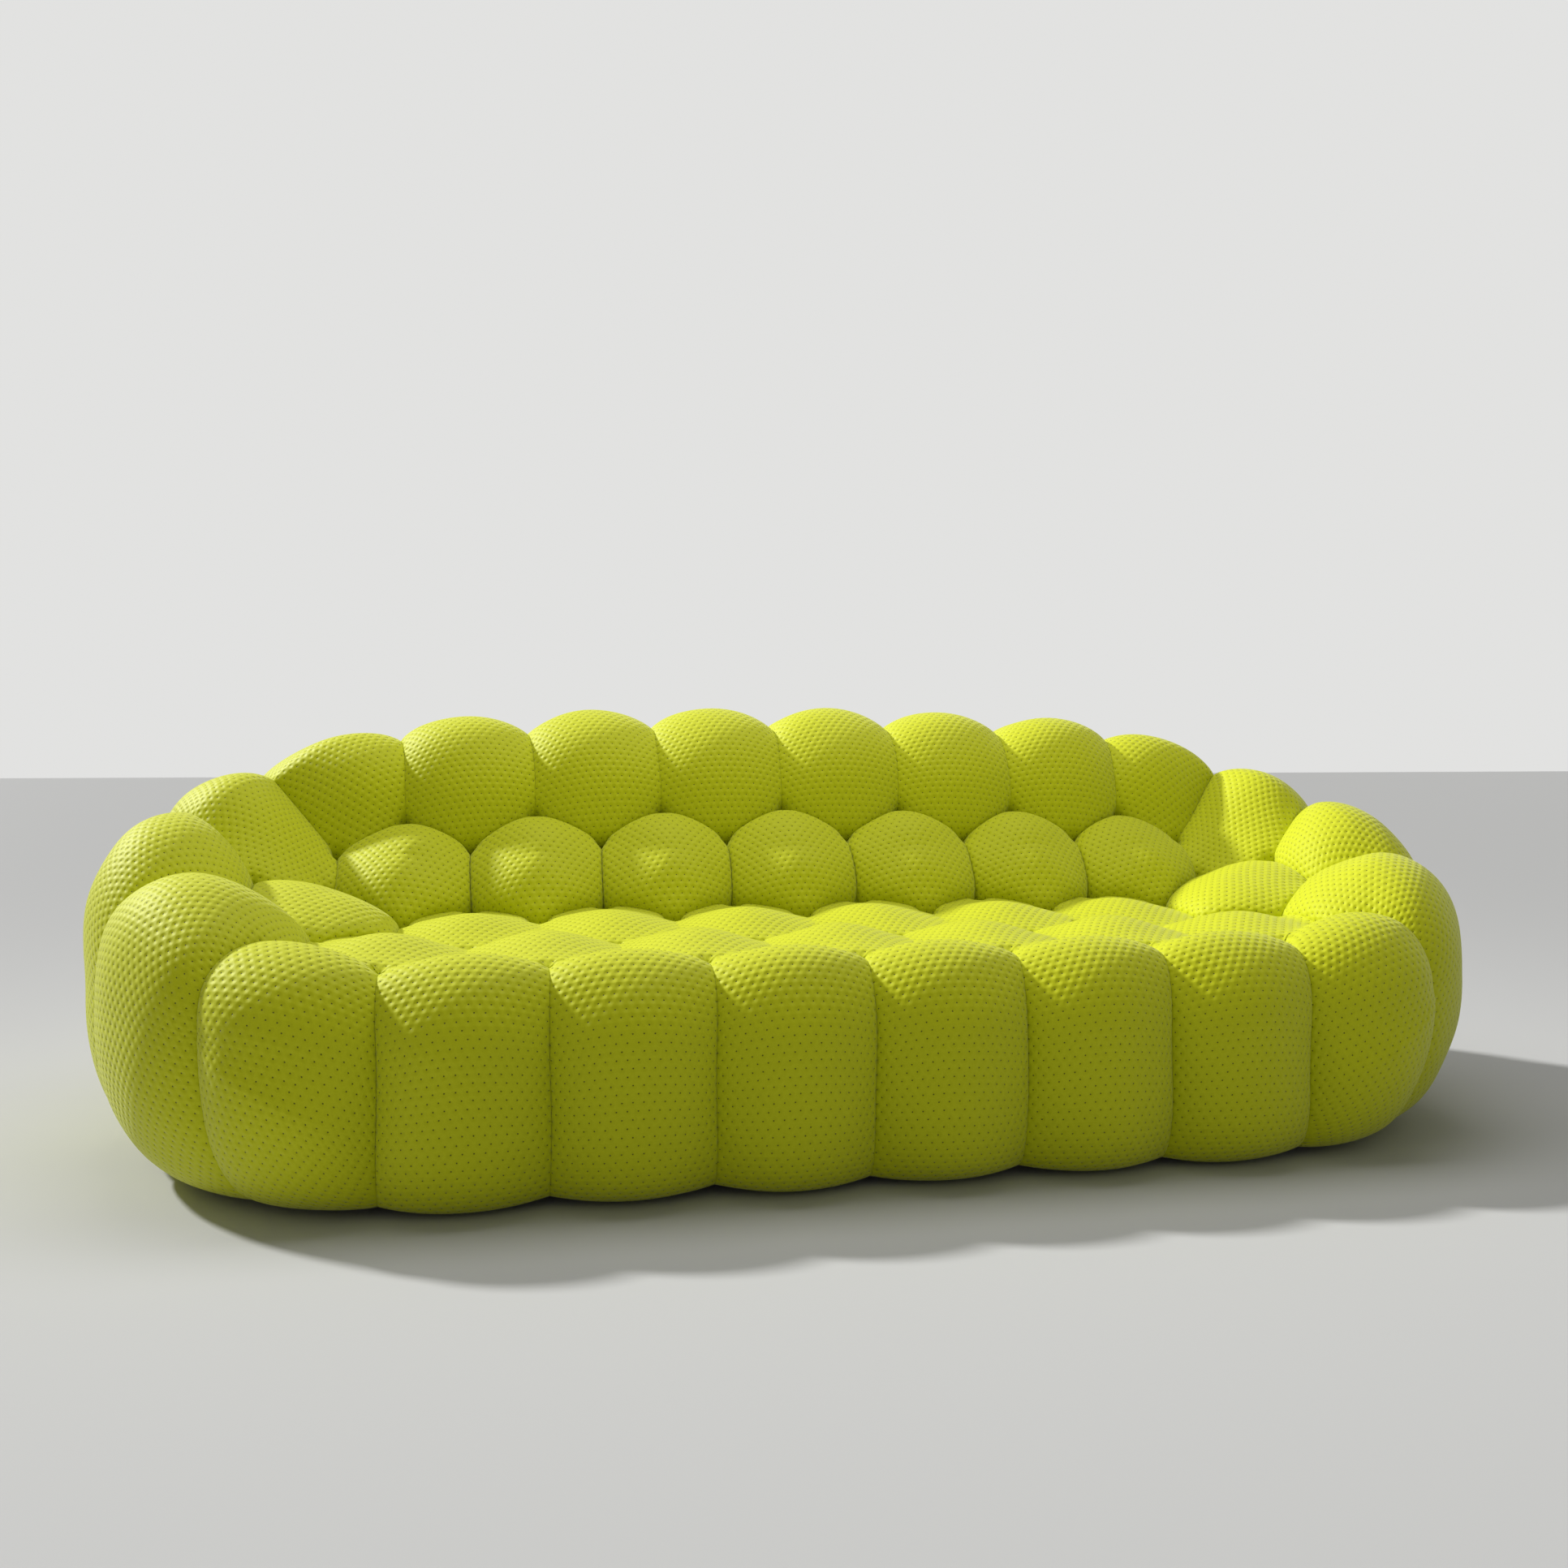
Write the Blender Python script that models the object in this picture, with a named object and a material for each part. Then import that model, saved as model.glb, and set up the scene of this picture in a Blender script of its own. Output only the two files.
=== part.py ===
# Oval tufted bubble sofa: padded ring, inner pads and seat cushion over a plywood and webbing frame.
# Metres, +Z up, the front faces -Y, the long side lies along X.
import math

import bmesh
import bpy
import numpy as np
from mathutils import Matrix, Vector

for old in list(bpy.data.objects):
    bpy.data.objects.remove(old, do_unlink=True)

# Driving dimensions of the upholstery
PITCH = 0.26  # width of one bubble along the sofa
SEAT_HEIGHT = 0.386  # tufts of the seat above the floor
RIM_HEIGHT = 0.762  # creases on the crest of the back
SEAT_DEPTH = 0.512  # front creases to the tufts where seat and back meet
FRONT_FACE_Y = -0.03  # creases of the front face
REAR_FACE_Y = 1.22  # creases of the rear face
END_REACH = 0.205  # outermost tufts to the creases of the two ends
REAR_FLARE = 0.015  # by which the creases stand wider apart on the rear face than the tufts
RIM_FLARE = 0.0055  # the same on the crest of the back
RIM_SETBACK = 0.87  # depth at which the crest of the back lies
FOOT_HEIGHT = 0.015  # lower ends of the creases
HEM_HEIGHT = 0.006  # undersides of the ring pads above the floor
FRONT_CREST = 0.398  # creases on top of the front pads
FRONT_CREST_Y = 0.035

# Driving dimensions of what the upholstery stands on
RING_FOAM = 0.08  # foam between a crease of the front or rear face and the frame
END_FOAM = 0.1  # the same round the ends
SEAT_BASE_HEIGHT = 0.33  # underside of the seat cushion
RIM_FOAM = 0.16  # foam over the frame at the crest
BACK_SLOPE_START = 0.672  # where the sloping back support meets the seat level
BACK_SLOPE = 1.05  # its rise for each metre of depth
BOARD = 0.018  # plywood
STRAP = 0.004  # elastic webbing
STRAP_WIDTH = 0.06
LINER = 0.0012  # fabric under the base
GLIDE_HEIGHT = 0.0165
GLIDE_RADIUS = 0.024
CORE_HEIGHT = 0.062  # seat foam core
GAP = 0.0003  # between pieces that rest on each other
PAD_GAP = 0.0004  # each pad's half of the gap to its neighbour

END_FACE_X = 4 * PITCH + END_REACH
REAR_SPREAD = PITCH + REAR_FLARE
RIM_SPREAD = PITCH + RIM_FLARE

# Depth and height of the eight rows of tufts, front to back, with how they bend towards the ends
HEX_SIDE = PITCH / math.sqrt(3)
ROW_Y = (
    SEAT_DEPTH - 3 * HEX_SIDE,
    SEAT_DEPTH - 2.5 * HEX_SIDE,
    SEAT_DEPTH - 1.5 * HEX_SIDE,
    SEAT_DEPTH - HEX_SIDE,
    SEAT_DEPTH,
    SEAT_DEPTH + 0.487 * HEX_SIDE,
    SEAT_DEPTH + 1.1 * HEX_SIDE,
    SEAT_DEPTH + 1.392 * HEX_SIDE,
)
ROW_RISE_SHARES = (0.016, 0.005, -0.003, -0.003, 0.0, 0.122, 0.378, 0.533)
ROW_Z = [SEAT_HEIGHT + share * (RIM_HEIGHT - SEAT_HEIGHT) for share in ROW_RISE_SHARES]
ROW_BOW_SHARES = (0.0, 0.0, 0.0, 0.0, 0.023, 0.041, 0.055, 0.055)
ROW_DROOP_SHARES = (0.0, 0.0, 0.0, 0.0, 0.004, 0.012, 0.039, 0.042)
END_RISE = 0.087
ROW_END_RISE_SHARES = (0.0, 0.08, 0.17, 0.57, 1.0, 0.35, 0.0, 0.0)
ROW_LAST_COLUMN = (6, 7, 7, 8, 8, 7, 7, 6)  # outermost tufts, counted in half pitches

# The four creases that turn each end, front to back: tuft (half pitches, row), outer face, crest
DEPTH = REAR_FACE_Y - FRONT_FACE_Y
END_TUFTS = ((7, 1), (8, 3), (8, 4), (7, 6))
END_FACE_X_SHARES = (0.835, 0.992, 1.0, 0.94)
END_FACE_Y_SHARES = (0.032, 0.256, 0.56, 0.824)
END_CREST_X_SHARES = (0.783, 0.924, 0.932, 0.835)
END_CREST_Y_SHARES = (0.096, 0.288, 0.514, 0.652)
END_CREST_RISE_SHARES = (0.08, 0.245, 0.507, 0.712)
END_TUCK = 0.09
END_BELLY = 0.25
TUCK = 0.05  # how far the outer face turns under at the floor
BELLY = 0.13  # height at which it stands upright
CREST_DROOP_SHARE = 0.061
REAR_BOW_SHARE = 0.024

BACK_FRAME_TOP = RIM_HEIGHT - CREST_DROOP_SHARE * (3 * PITCH) ** 2 / END_FACE_X - RIM_FOAM

# Padding
RING_BULGE_SHARE = 0.18  # of the pad's width
FRONT_CREST_BULGE_SHARE = 0.07  # of the width, where a front pad turns over into the seat
SEAT_CROWN = 0.028
BACK_CROWN = 0.058
PILLOW_POWER = 0.62  # steep sides, blunt crown
SEAT_POWER = 1.0  # soft valleys
ACROSS = 6  # faces across a ring pad
TUCK_STEPS, FACE_STEPS, SHOULDER_STEPS, INNER_STEPS = 3, 2, 4, 4
ROUND_SHARE = 0.6  # how fully the rounds of the ring fill their corners
LEAN_SHARE = 0.4  # how far the last face before a tuft already leans its way
BACK_RING_SHARES = (0.36, 0.64, 0.86, 1.0)  # rings of points from the middle of a pad to its seam
SEAT_RING_SHARES = (0.4, 0.72, 1.0)
EDGE_SPLIT = 3  # faces along each side of a six-sided pad
CHAMFER_SHARE = 0.6  # of the thickness of a board whose top edge slopes
KNEE_SHARE = 0.25  # of the way from a tuft's foot to the frame's board


def material(name, colour, roughness, metallic=0.0):
    """One Principled material; the colour is linear RGB."""
    made = bpy.data.materials.new(name)
    made.use_nodes = True
    shader = made.node_tree.nodes["Principled BSDF"]
    shader.inputs["Base Color"].default_value = (*colour, 1.0)
    shader.inputs["Roughness"].default_value = roughness
    shader.inputs["Metallic"].default_value = metallic
    made.diffuse_color = (*colour, 1.0)
    return made


KNIT = material("lime_knit", (0.46, 0.5, 0.02), 0.9)
PLYWOOD = material("birch_plywood", (0.55, 0.38, 0.2), 0.6)
WEBBING = material("elastic_webbing", (0.05, 0.05, 0.055), 0.85)
FOAM = material("seat_foam", (0.8, 0.72, 0.45), 0.95)
LINER_CLOTH = material("liner_cloth", (0.02, 0.02, 0.02), 0.9)
GLIDE_PLASTIC = material("glide_plastic", (0.03, 0.03, 0.03), 0.45)

root = bpy.data.objects.new("sofa_root", None)
bpy.context.scene.collection.objects.link(root)


def solid(name, points, faces, look, smooth=True):
    """A closed mesh object of these points and faces, facing outwards, under the root empty."""
    mesh = bpy.data.meshes.new(name)
    mesh.from_pydata([tuple(point) for point in points], [], [tuple(face) for face in faces])
    shape = bmesh.new()
    shape.from_mesh(mesh)
    bmesh.ops.recalc_face_normals(shape, faces=shape.faces)
    if shape.calc_volume(signed=True) < 0:
        bmesh.ops.reverse_faces(shape, faces=shape.faces)
    shape.to_mesh(mesh)
    shape.free()
    if smooth:
        mesh.shade_smooth()
        mesh.set_sharp_from_angle(angle=math.radians(50))
    mesh.materials.append(look)
    made = bpy.data.objects.new(name, mesh)
    bpy.context.scene.collection.objects.link(made)
    made.parent = root
    return made


def unit(vectors):
    vectors = np.asarray(vectors, float)
    return vectors / np.linalg.norm(vectors, axis=-1, keepdims=True)


def mix(start, end, share):
    return start + (end - start) * share


# The net of tufts. A tuft is named by its place in half pitches from the middle and its row.
def tuft(place):
    column, row = place
    x = column * PITCH / 2
    y = ROW_Y[row] + ROW_BOW_SHARES[row] * x * x / END_FACE_X
    z = ROW_Z[row] - ROW_DROOP_SHARES[row] * x * x / END_FACE_X
    if abs(column) >= ROW_LAST_COLUMN[row]:
        z += END_RISE * ROW_END_RISE_SHARES[row]
    return np.array([x, y, z])


def hexagon(column, row):
    """The six tufts round the pad whose front tuft is at this place."""
    sides = ((0, 0), (1, 1), (1, 2), (0, 3), (-1, 2), (-1, 1))
    return [(column + across, row + back) for across, back in sides]


SEAT_CELLS = [hexagon(column, 0) for column in range(-6, 7, 2)]
SEAT_CELLS += [hexagon(column, 2) for column in range(-5, 6, 2)]
BACK_CELLS = [hexagon(column, 4) for column in range(-6, 7, 2)]
ARM_CELLS = [hexagon(-7, 2), hexagon(7, 2)]


class Crease:
    """One seam of the ring: up the outer face, over the crest and down to its tuft."""

    def __init__(self, place, face, crest, inward, tuck, belly, foam, frame_top):
        self.place = place
        self.tuft = tuft(place)
        self.face = np.array(face)
        self.crest = np.array(crest)
        self.frame_top = frame_top
        self.board = self.face + inward * foam
        across = unit(self.tuft[:2] - self.face)
        self.aside = np.array([across[1], -across[0], 0]) * PAD_GAP
        foot = np.array([*(self.face + inward * tuck), FOOT_HEIGHT])
        low = np.array([*self.face, belly])
        reach = np.linalg.norm(self.crest[:2] - self.face)
        high = np.array([*self.face, max(belly + FOOT_HEIGHT, self.crest[2] - reach - TUCK)])
        floor_corner = np.array([*self.face, FOOT_HEIGHT])
        outer_corner = np.array([*self.face, self.crest[2]])
        inner_corner = np.array([*self.tuft[:2], self.crest[2]])
        parts = (
            arc(foot, floor_corner, low, TUCK_STEPS),
            [mix(low, high, step / FACE_STEPS) for step in range(1, FACE_STEPS + 1)],
            arc(high, outer_corner, self.crest, SHOULDER_STEPS)[1:],
            arc(self.crest, inner_corner, self.tuft, INNER_STEPS)[1:],
        )
        self.line = np.array([point for part in parts for point in part])


def arc(start, corner, end, steps):
    """Points of a quarter round that leaves start towards the corner and reaches end from it."""
    first, second = mix(start, corner, ROUND_SHARE), mix(end, corner, ROUND_SHARE)
    points = []
    for step in range(steps + 1):
        t = step / steps
        s = 1 - t
        points.append(s**3 * start + 3 * s * s * t * first + 3 * s * t * t * second + t**3 * end)
    return points


def end_creases(side):
    """The four creases that turn one end, front to back; side is 1 on the right and -1 on the left."""
    made = []
    for step, (column, row) in enumerate(END_TUFTS):
        face = (
            side * END_FACE_X * END_FACE_X_SHARES[step],
            FRONT_FACE_Y + DEPTH * END_FACE_Y_SHARES[step],
        )
        crest = (
            side * END_FACE_X * END_CREST_X_SHARES[step],
            FRONT_FACE_Y + DEPTH * END_CREST_Y_SHARES[step],
            SEAT_HEIGHT + (RIM_HEIGHT - SEAT_HEIGHT) * END_CREST_RISE_SHARES[step],
        )
        place = (side * column, row)
        inward = unit(tuft(place)[:2] - face)
        frame_top = max(SEAT_BASE_HEIGHT, crest[2] - RIM_FOAM)
        made.append(Crease(place, face, crest, inward, END_TUCK, END_BELLY, END_FOAM, frame_top))
    return made


def front_crease(column):
    x = column * PITCH / 2
    face, crest = (x, FRONT_FACE_Y), (x, FRONT_CREST_Y, FRONT_CREST)
    inward = np.array((0, 1))
    return Crease((column, 0), face, crest, inward, TUCK, BELLY, RING_FOAM, SEAT_BASE_HEIGHT)


def rear_crease(column):
    x = column * PITCH / 2
    bow = x * x / END_FACE_X
    crest = (
        column * RIM_SPREAD / 2,
        RIM_SETBACK - REAR_BOW_SHARE * bow,
        RIM_HEIGHT - CREST_DROOP_SHARE * bow,
    )
    face, inward = (column * REAR_SPREAD / 2, REAR_FACE_Y), np.array((0, -1))
    return Crease((column, 7), face, crest, inward, TUCK, BELLY, RING_FOAM, BACK_FRAME_TOP)


CREASES = [front_crease(column) for column in range(-6, 7, 2)]
CREASES += end_creases(1)
CREASES += [rear_crease(column) for column in range(6, -7, -2)]
CREASES += end_creases(-1)[::-1]


def lower_tuft(first, second):
    """The tuft between two neighbouring creases where two inner pads meet, if there is one."""
    (column_a, row_a), (column_b, row_b) = first.place, second.place
    if row_a == row_b:
        if row_a == 0:
            return ((column_a + column_b) // 2, 1)
        if row_a == 7:
            return ((column_a + column_b) // 2, 6)
        return None
    if {row_a, row_b} == {1, 3}:
        return (7 if column_a > 0 else -7, 2)
    if {row_a, row_b} == {4, 6}:
        return (7 if column_a > 0 else -7, 5)
    return None


def plane_normal(points):
    """The mean normal of a closed outline in space, pointing up."""
    points = np.array(points)
    middle = points - points.mean(axis=0)
    normal = np.cross(middle, np.roll(middle, -1, axis=0)).sum(axis=0)
    return unit(normal if normal[2] > 0 else -normal)


def tuft_directions():
    """The direction in which the padding rises beside each tuft: the mean over the pads round it."""
    found = {}
    for cell in SEAT_CELLS + BACK_CELLS + ARM_CELLS:
        normal = plane_normal([tuft(place) for place in cell])
        for place in cell:
            found.setdefault(place, []).append(normal)
    for first, second in zip(CREASES, CREASES[1:] + CREASES[:1]):
        between = lower_tuft(first, second)
        places = [first.place] + ([between] if between else []) + [second.place]
        outline = [tuft(place) for place in places] + [second.crest, first.crest]
        normal = plane_normal(outline)
        for place in places:
            found.setdefault(place, []).append(normal)
    return {place: unit(np.mean(normals, axis=0)) for place, normals in found.items()}


DIRECTIONS = tuft_directions()


def below(point, direction):
    """Where the line from a point against its direction meets the seat level or the back support."""
    to_seat = (point[2] - SEAT_BASE_HEIGHT) / direction[2]
    rise = point[2] - SEAT_BASE_HEIGHT - BACK_SLOPE * (point[1] - BACK_SLOPE_START)
    to_slope = rise / (direction[2] - BACK_SLOPE * direction[1])
    return point - direction * min(to_seat, to_slope)


def pillow(share, power):
    """Height of a padded crown: 0 at the seam (share 1), 1 in the middle (share 0)."""
    return max(0.0, 1 - share * share) ** power


def wall(points, high, low):
    """Faces of a side wall between two rows of points. Neighbours split it the same way."""
    faces = []
    for (a, b), (c, d) in zip(zip(high, high[1:]), zip(low, low[1:])):
        if points[a][1] < points[b][1]:
            faces += [(a, b, d), (a, d, c)]
        else:
            faces += [(a, b, c), (b, d, c)]
    return faces


def inner_line(crease, last):
    """The pad's inner side along a crease: up the frame's board, over its top, to the tuft's foot."""
    top_count = SHOULDER_STEPS // 2
    foot_count = TUCK_STEPS + FACE_STEPS + SHOULDER_STEPS - top_count
    bottom = np.array([*crease.board, 2 * HEM_HEIGHT])
    corner = np.array([*crease.board, crease.frame_top])
    knee_share = KNEE_SHARE
    if last[2] > SEAT_BASE_HEIGHT + GAP:
        slope_end = BACK_SLOPE_START + (crease.frame_top - SEAT_BASE_HEIGHT) / BACK_SLOPE
        knee_share = (slope_end - last[1]) / (crease.board[1] - last[1])
    knee = np.array([*mix(last[:2], crease.board, knee_share), crease.frame_top])
    points = [mix(bottom, corner, step / foot_count) for step in range(foot_count)]
    points += [mix(corner, knee, step / top_count) for step in range(top_count)]
    points += [mix(knee, last, step / INNER_STEPS) for step in range(INNER_STEPS + 1)]
    return np.array(points)


def ring_pad(name, number):
    """One pad of the ring, between two creases, from the floor over the crest to the inner tufts."""
    count = len(CREASES)
    first, second = CREASES[number], CREASES[(number + 1) % count]
    before, after = CREASES[number - 1], CREASES[(number + 2) % count]
    between = lower_tuft(first, second)
    rows = len(first.line)
    outward = []
    for crease, left, right in ((first, before, second), (second, first, after)):
        along = np.gradient(crease.line, axis=0)
        across = unit(right.line - left.line)
        normal = unit(np.cross(across, unit(along)))
        normal[-1] = DIRECTIONS[crease.place]
        normal[-2] = unit(mix(normal[-2], DIRECTIONS[crease.place], LEAN_SHARE))
        outward.append(normal)
    length = np.linalg.norm(np.diff((first.line + second.line) / 2, axis=0), axis=1)
    travelled = np.concatenate([[0], np.cumsum(length)])
    turn = travelled[TUCK_STEPS]
    high_row = TUCK_STEPS + FACE_STEPS
    crest_row = high_row + SHOULDER_STEPS
    shoulder = travelled[crest_row] - travelled[high_row]
    inner = travelled[-1] - travelled[crest_row]
    in_front = max(first.place[1], second.place[1]) <= 1
    crest_bulge_share = FRONT_CREST_BULGE_SHARE if in_front else RING_BULGE_SHARE
    points = []
    for row in range(rows):
        low, high = first.line[row] + first.aside, second.line[row] - second.aside
        width = np.linalg.norm(high - low)
        at_foot = max(0.0, 1 - travelled[row] / turn)
        past_crest = max(0.0, (travelled[row] - travelled[crest_row]) / inner)
        to_crest = min(max(0.0, (travelled[row] - travelled[high_row]) / shoulder), 1.0)
        bulge = width * mix(RING_BULGE_SHARE, crest_bulge_share, to_crest)
        for column in range(ACROSS + 1):
            share = column / ACROSS
            place = mix(low, high, share)
            direction = unit(mix(outward[0][row], outward[1][row], share))
            if between:
                tip, tip_direction = tuft(between), DIRECTIONS[between]
                near = first if share < 0.5 else second
                to_tip = 2 * min(share, 1 - share)
                drop = mix(near.tuft, tip, to_tip) - mix(first.tuft, second.tuft, share)
                place = place + past_crest**2 * drop
                end_direction = unit(mix(DIRECTIONS[near.place], tip_direction, to_tip))
                direction = unit(mix(direction, end_direction, past_crest**3))
            height = bulge * pillow(2 * share - 1, PILLOW_POWER)
            height *= pillow(at_foot, PILLOW_POWER) * pillow(past_crest, PILLOW_POWER)
            point = place + direction * height
            point[2] = max(point[2], HEM_HEIGHT)
            points.append(point)
    feet = [below(crease.tuft, DIRECTIONS[crease.place]) for crease in (first, second)]
    sides = [inner_line(crease, foot) for crease, foot in zip((first, second), feet)]
    columns = ACROSS + 1
    outer = rows * columns
    for low, high in zip(sides[0][:-1], sides[1][:-1]):
        points += [low + first.aside, high - second.aside]
    # The end wall against the inner pads stands on the same stations as theirs
    stations = list(range(columns)) if between else list(range(0, columns, 2))
    corners = [feet[0], below(tuft(between), DIRECTIONS[between]), feet[1]] if between else feet
    low_row = []
    for step in range(len(stations)):
        along = step * (len(corners) - 1) / (len(stations) - 1)
        corner = min(int(along), len(corners) - 2)
        low_row.append(mix(corners[corner], corners[corner + 1], along - corner))
    low_row[0], low_row[-1] = feet[0] + first.aside, feet[1] - second.aside
    aside = unit((second.tuft - first.tuft) * (1, 1, 0))
    back = np.array([aside[1], -aside[0], 0]) * PAD_GAP
    top = (rows - 1) * columns
    for index in range(top, outer):
        points[index] = points[index] + back
    lows = len(points)
    points += [low + back for low in low_row]
    low_indices = list(range(lows, lows + len(low_row)))
    faces = []
    for row in range(rows - 1):
        for column in range(ACROSS):
            corner = row * columns + column
            faces.append((corner, corner + 1, corner + columns + 1))
            faces.append((corner, corner + columns + 1, corner + columns))
        last = row == rows - 2
        left, inside = row * columns, outer + 2 * row
        next_left, next_right = (lows, low_indices[-1]) if last else (inside + 2, inside + 3)
        faces.append((left, left + columns, next_left))
        faces.append((left, next_left, inside))
        right = row * columns + ACROSS
        faces.append((right, next_right, right + columns))
        faces.append((right, inside + 1, next_right))
        if last:
            fan = low_indices[: len(low_indices) // 2 + 1]
            rest = low_indices[len(fan) - 1 :]
            faces += [(inside, a, b) for a, b in zip(fan, fan[1:])]
            faces += [(inside + 1, a, b) for a, b in zip(rest, rest[1:])]
            faces.append((inside, fan[-1], inside + 1))
        else:
            faces.append((inside, inside + 2, inside + 3))
            faces.append((inside, inside + 3, inside + 1))
    for column in range(ACROSS):
        faces.append((column, outer if column < ACROSS // 2 else outer + 1, column + 1))
    faces.append((ACROSS // 2, outer, outer + 1))
    high = [top + station for station in stations]
    for face in wall(points, high, low_indices):
        upper = [index for index in face if top <= index < outer]
        if len(upper) == 2 and abs(upper[0] - upper[1]) == 2:
            a, b = upper
            low = next(index for index in face if index >= lows)
            faces += [(a, (a + b) // 2, low), ((a + b) // 2, b, low)]
        else:
            faces.append(face)
    return solid(name, points, faces, KNIT)


def crown_points(cell, crown, power, shares, shrink):
    """Rings of points over a six-sided pad, from its seam inwards, its middle last, and its foot ring."""
    places = [tuft(place) for place in cell]
    directions = [DIRECTIONS[place] for place in cell]
    middle = np.mean(places, axis=0)
    rise = unit(np.mean(directions, axis=0))
    edge, lean, foot = [], [], []
    for side in range(6):
        following = (side + 1) % 6
        for step in range(EDGE_SPLIT):
            share = step / EDGE_SPLIT
            point = mix(places[side], places[following], share)
            direction = unit(mix(directions[side], directions[following], share))
            inward = unit(middle - point) * shrink
            edge.append(point + inward)
            lean.append(direction)
            ends = [below(places[corner], directions[corner]) for corner in (side, following)]
            foot.append(mix(ends[0], ends[1], share) + inward * (1, 1, 0))
    rings = []
    for share in shares[::-1]:
        height = crown * pillow(share, power)
        ring = [
            mix(middle, point, share) + unit(mix(rise, direction, share)) * height
            for point, direction in zip(edge, lean)
        ]
        rings.append(ring)
    return rings, middle + rise * crown, foot


def inner_pad(name, cell):
    """One six-sided pad of the backrest or of an arm."""
    rings, middle, foot = crown_points(cell, BACK_CROWN, PILLOW_POWER, BACK_RING_SHARES, PAD_GAP)
    points = [point for ring in rings for point in ring] + [middle] + foot
    points.append(np.mean(foot, axis=0))
    count = len(foot)
    top, under = count * len(rings), count * len(rings) + 1
    faces = []
    for side in range(count):
        following = (side + 1) % count
        for ring in range(len(rings) - 1):
            low, high = ring * count, (ring + 1) * count
            faces.append((low + side, low + following, high + following))
            faces.append((low + side, high + following, high + side))
        inmost = (len(rings) - 1) * count
        faces.append((inmost + side, inmost + following, top))
        faces += wall(points, (side, following), (under + side, under + following))
        faces.append((under + side, under + count, under + following))
    return solid(name, points, faces, KNIT)


def seat_cushion(name):
    """The seat cushion: thirteen tufted crowns over one flat base."""
    shape = bmesh.new()
    feet = {}
    for cell in SEAT_CELLS:
        rings, middle, foot = crown_points(cell, SEAT_CROWN, SEAT_POWER, SEAT_RING_SHARES, 0.0)
        rows = [[shape.verts.new(point) for point in ring] for ring in rings]
        top = shape.verts.new(middle)
        for corner, low in zip(rings[0], foot):
            feet[tuple(np.round(corner, 5))] = low
        count = len(foot)
        for side in range(count):
            following = (side + 1) % count
            for low, high in zip(rows, rows[1:]):
                shape.faces.new((low[side], low[following], high[following]))
                shape.faces.new((low[side], high[following], high[side]))
            shape.faces.new((rows[-1][side], rows[-1][following], top))
    bmesh.ops.remove_doubles(shape, verts=shape.verts, dist=GAP / 10)
    rim = [edge for edge in shape.edges if edge.is_boundary]
    order = [rim[0].verts[0]]
    current, edge = rim[0].verts[1], rim[0]
    while current is not order[0]:
        order.append(current)
        edge = next(other for other in current.link_edges if other.is_boundary and other is not edge)
        current = edge.other_vert(current)
    outline = np.array([vertex.co[:2] for vertex in order])
    ahead, behind = np.roll(outline, -1, axis=0), np.roll(outline, 1, axis=0)
    area = np.cross(outline, ahead).sum()
    along = unit(ahead - behind) * np.sign(area) * PAD_GAP
    moves = np.stack([-along[:, 1], along[:, 0], 0 * along[:, 0]], axis=1)
    lows = [feet[tuple(np.round(vertex.co, 5))] + move for vertex, move in zip(order, moves)]
    base = [shape.verts.new(low) for low in lows]
    for vertex, move in zip(order, moves):
        vertex.co += Vector(move)
    shape.faces.new(base)
    bmesh.ops.triangulate(shape, faces=shape.faces)
    shape.verts.index_update()
    points = [vertex.co.copy() for vertex in shape.verts]
    faces = [[vertex.index for vertex in face.verts] for face in shape.faces]
    high = [vertex.index for vertex in order]
    low = [vertex.index for vertex in base]
    faces += wall(points, high + high[:1], low + low[:1])
    shape.free()
    return solid(name, points, faces, KNIT)


def frame_outline(inset):
    """The plan outline of the frame through the foot of each crease, drawn in by this much."""
    outline = np.array([crease.board for crease in CREASES])
    ahead = unit(np.roll(outline, -1, axis=0) - outline)
    behind = unit(outline - np.roll(outline, 1, axis=0))
    left_ahead = np.stack([-ahead[:, 1], ahead[:, 0]], axis=1)
    left_behind = np.stack([-behind[:, 1], behind[:, 0]], axis=1)
    bisector = unit(left_ahead + left_behind)
    cosine = (bisector * left_ahead).sum(axis=1, keepdims=True)
    return outline + bisector * inset / cosine


def plate(name, outline, bottom, top, look):
    """A flat plate of this plan outline."""
    count = len(outline)
    points = [(x, y, bottom) for x, y in outline] + [(x, y, top) for x, y in outline]
    faces = [tuple(range(count)), tuple(range(count, 2 * count))]
    for side in range(count):
        following = (side + 1) % count
        faces.append((side, following, count + following, count + side))
    return solid(name, points, faces, look, smooth=False)


def board(name, start, end, bottom, trim=GAP):
    """An upright board of the frame from one crease to another, mitred at both ends."""
    outer, inner = frame_outline(GAP), frame_outline(GAP + BOARD)
    corners = [outer[start], outer[end], inner[end], inner[start]]
    along = unit(corners[1] - corners[0]) * trim
    corners = [corners[0] + along, corners[1] - along, corners[2] - along, corners[3] + along]
    tops = [CREASES[index].frame_top - GAP for index in (start, end, end, start)]
    if tops[0] != tops[1]:
        tops[2:] = [top - BOARD * CHAMFER_SHARE for top in tops[2:]]
    points = [(x, y, bottom) for x, y in corners]
    points += [(x, y, top) for (x, y), top in zip(corners, tops)]
    faces = [(0, 1, 2, 3), (4, 5, 6, 7), (0, 1, 5, 4), (1, 2, 6, 5), (2, 3, 7, 6), (3, 0, 4, 7)]
    return solid(name, points, faces, PLYWOOD, smooth=False)


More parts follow.
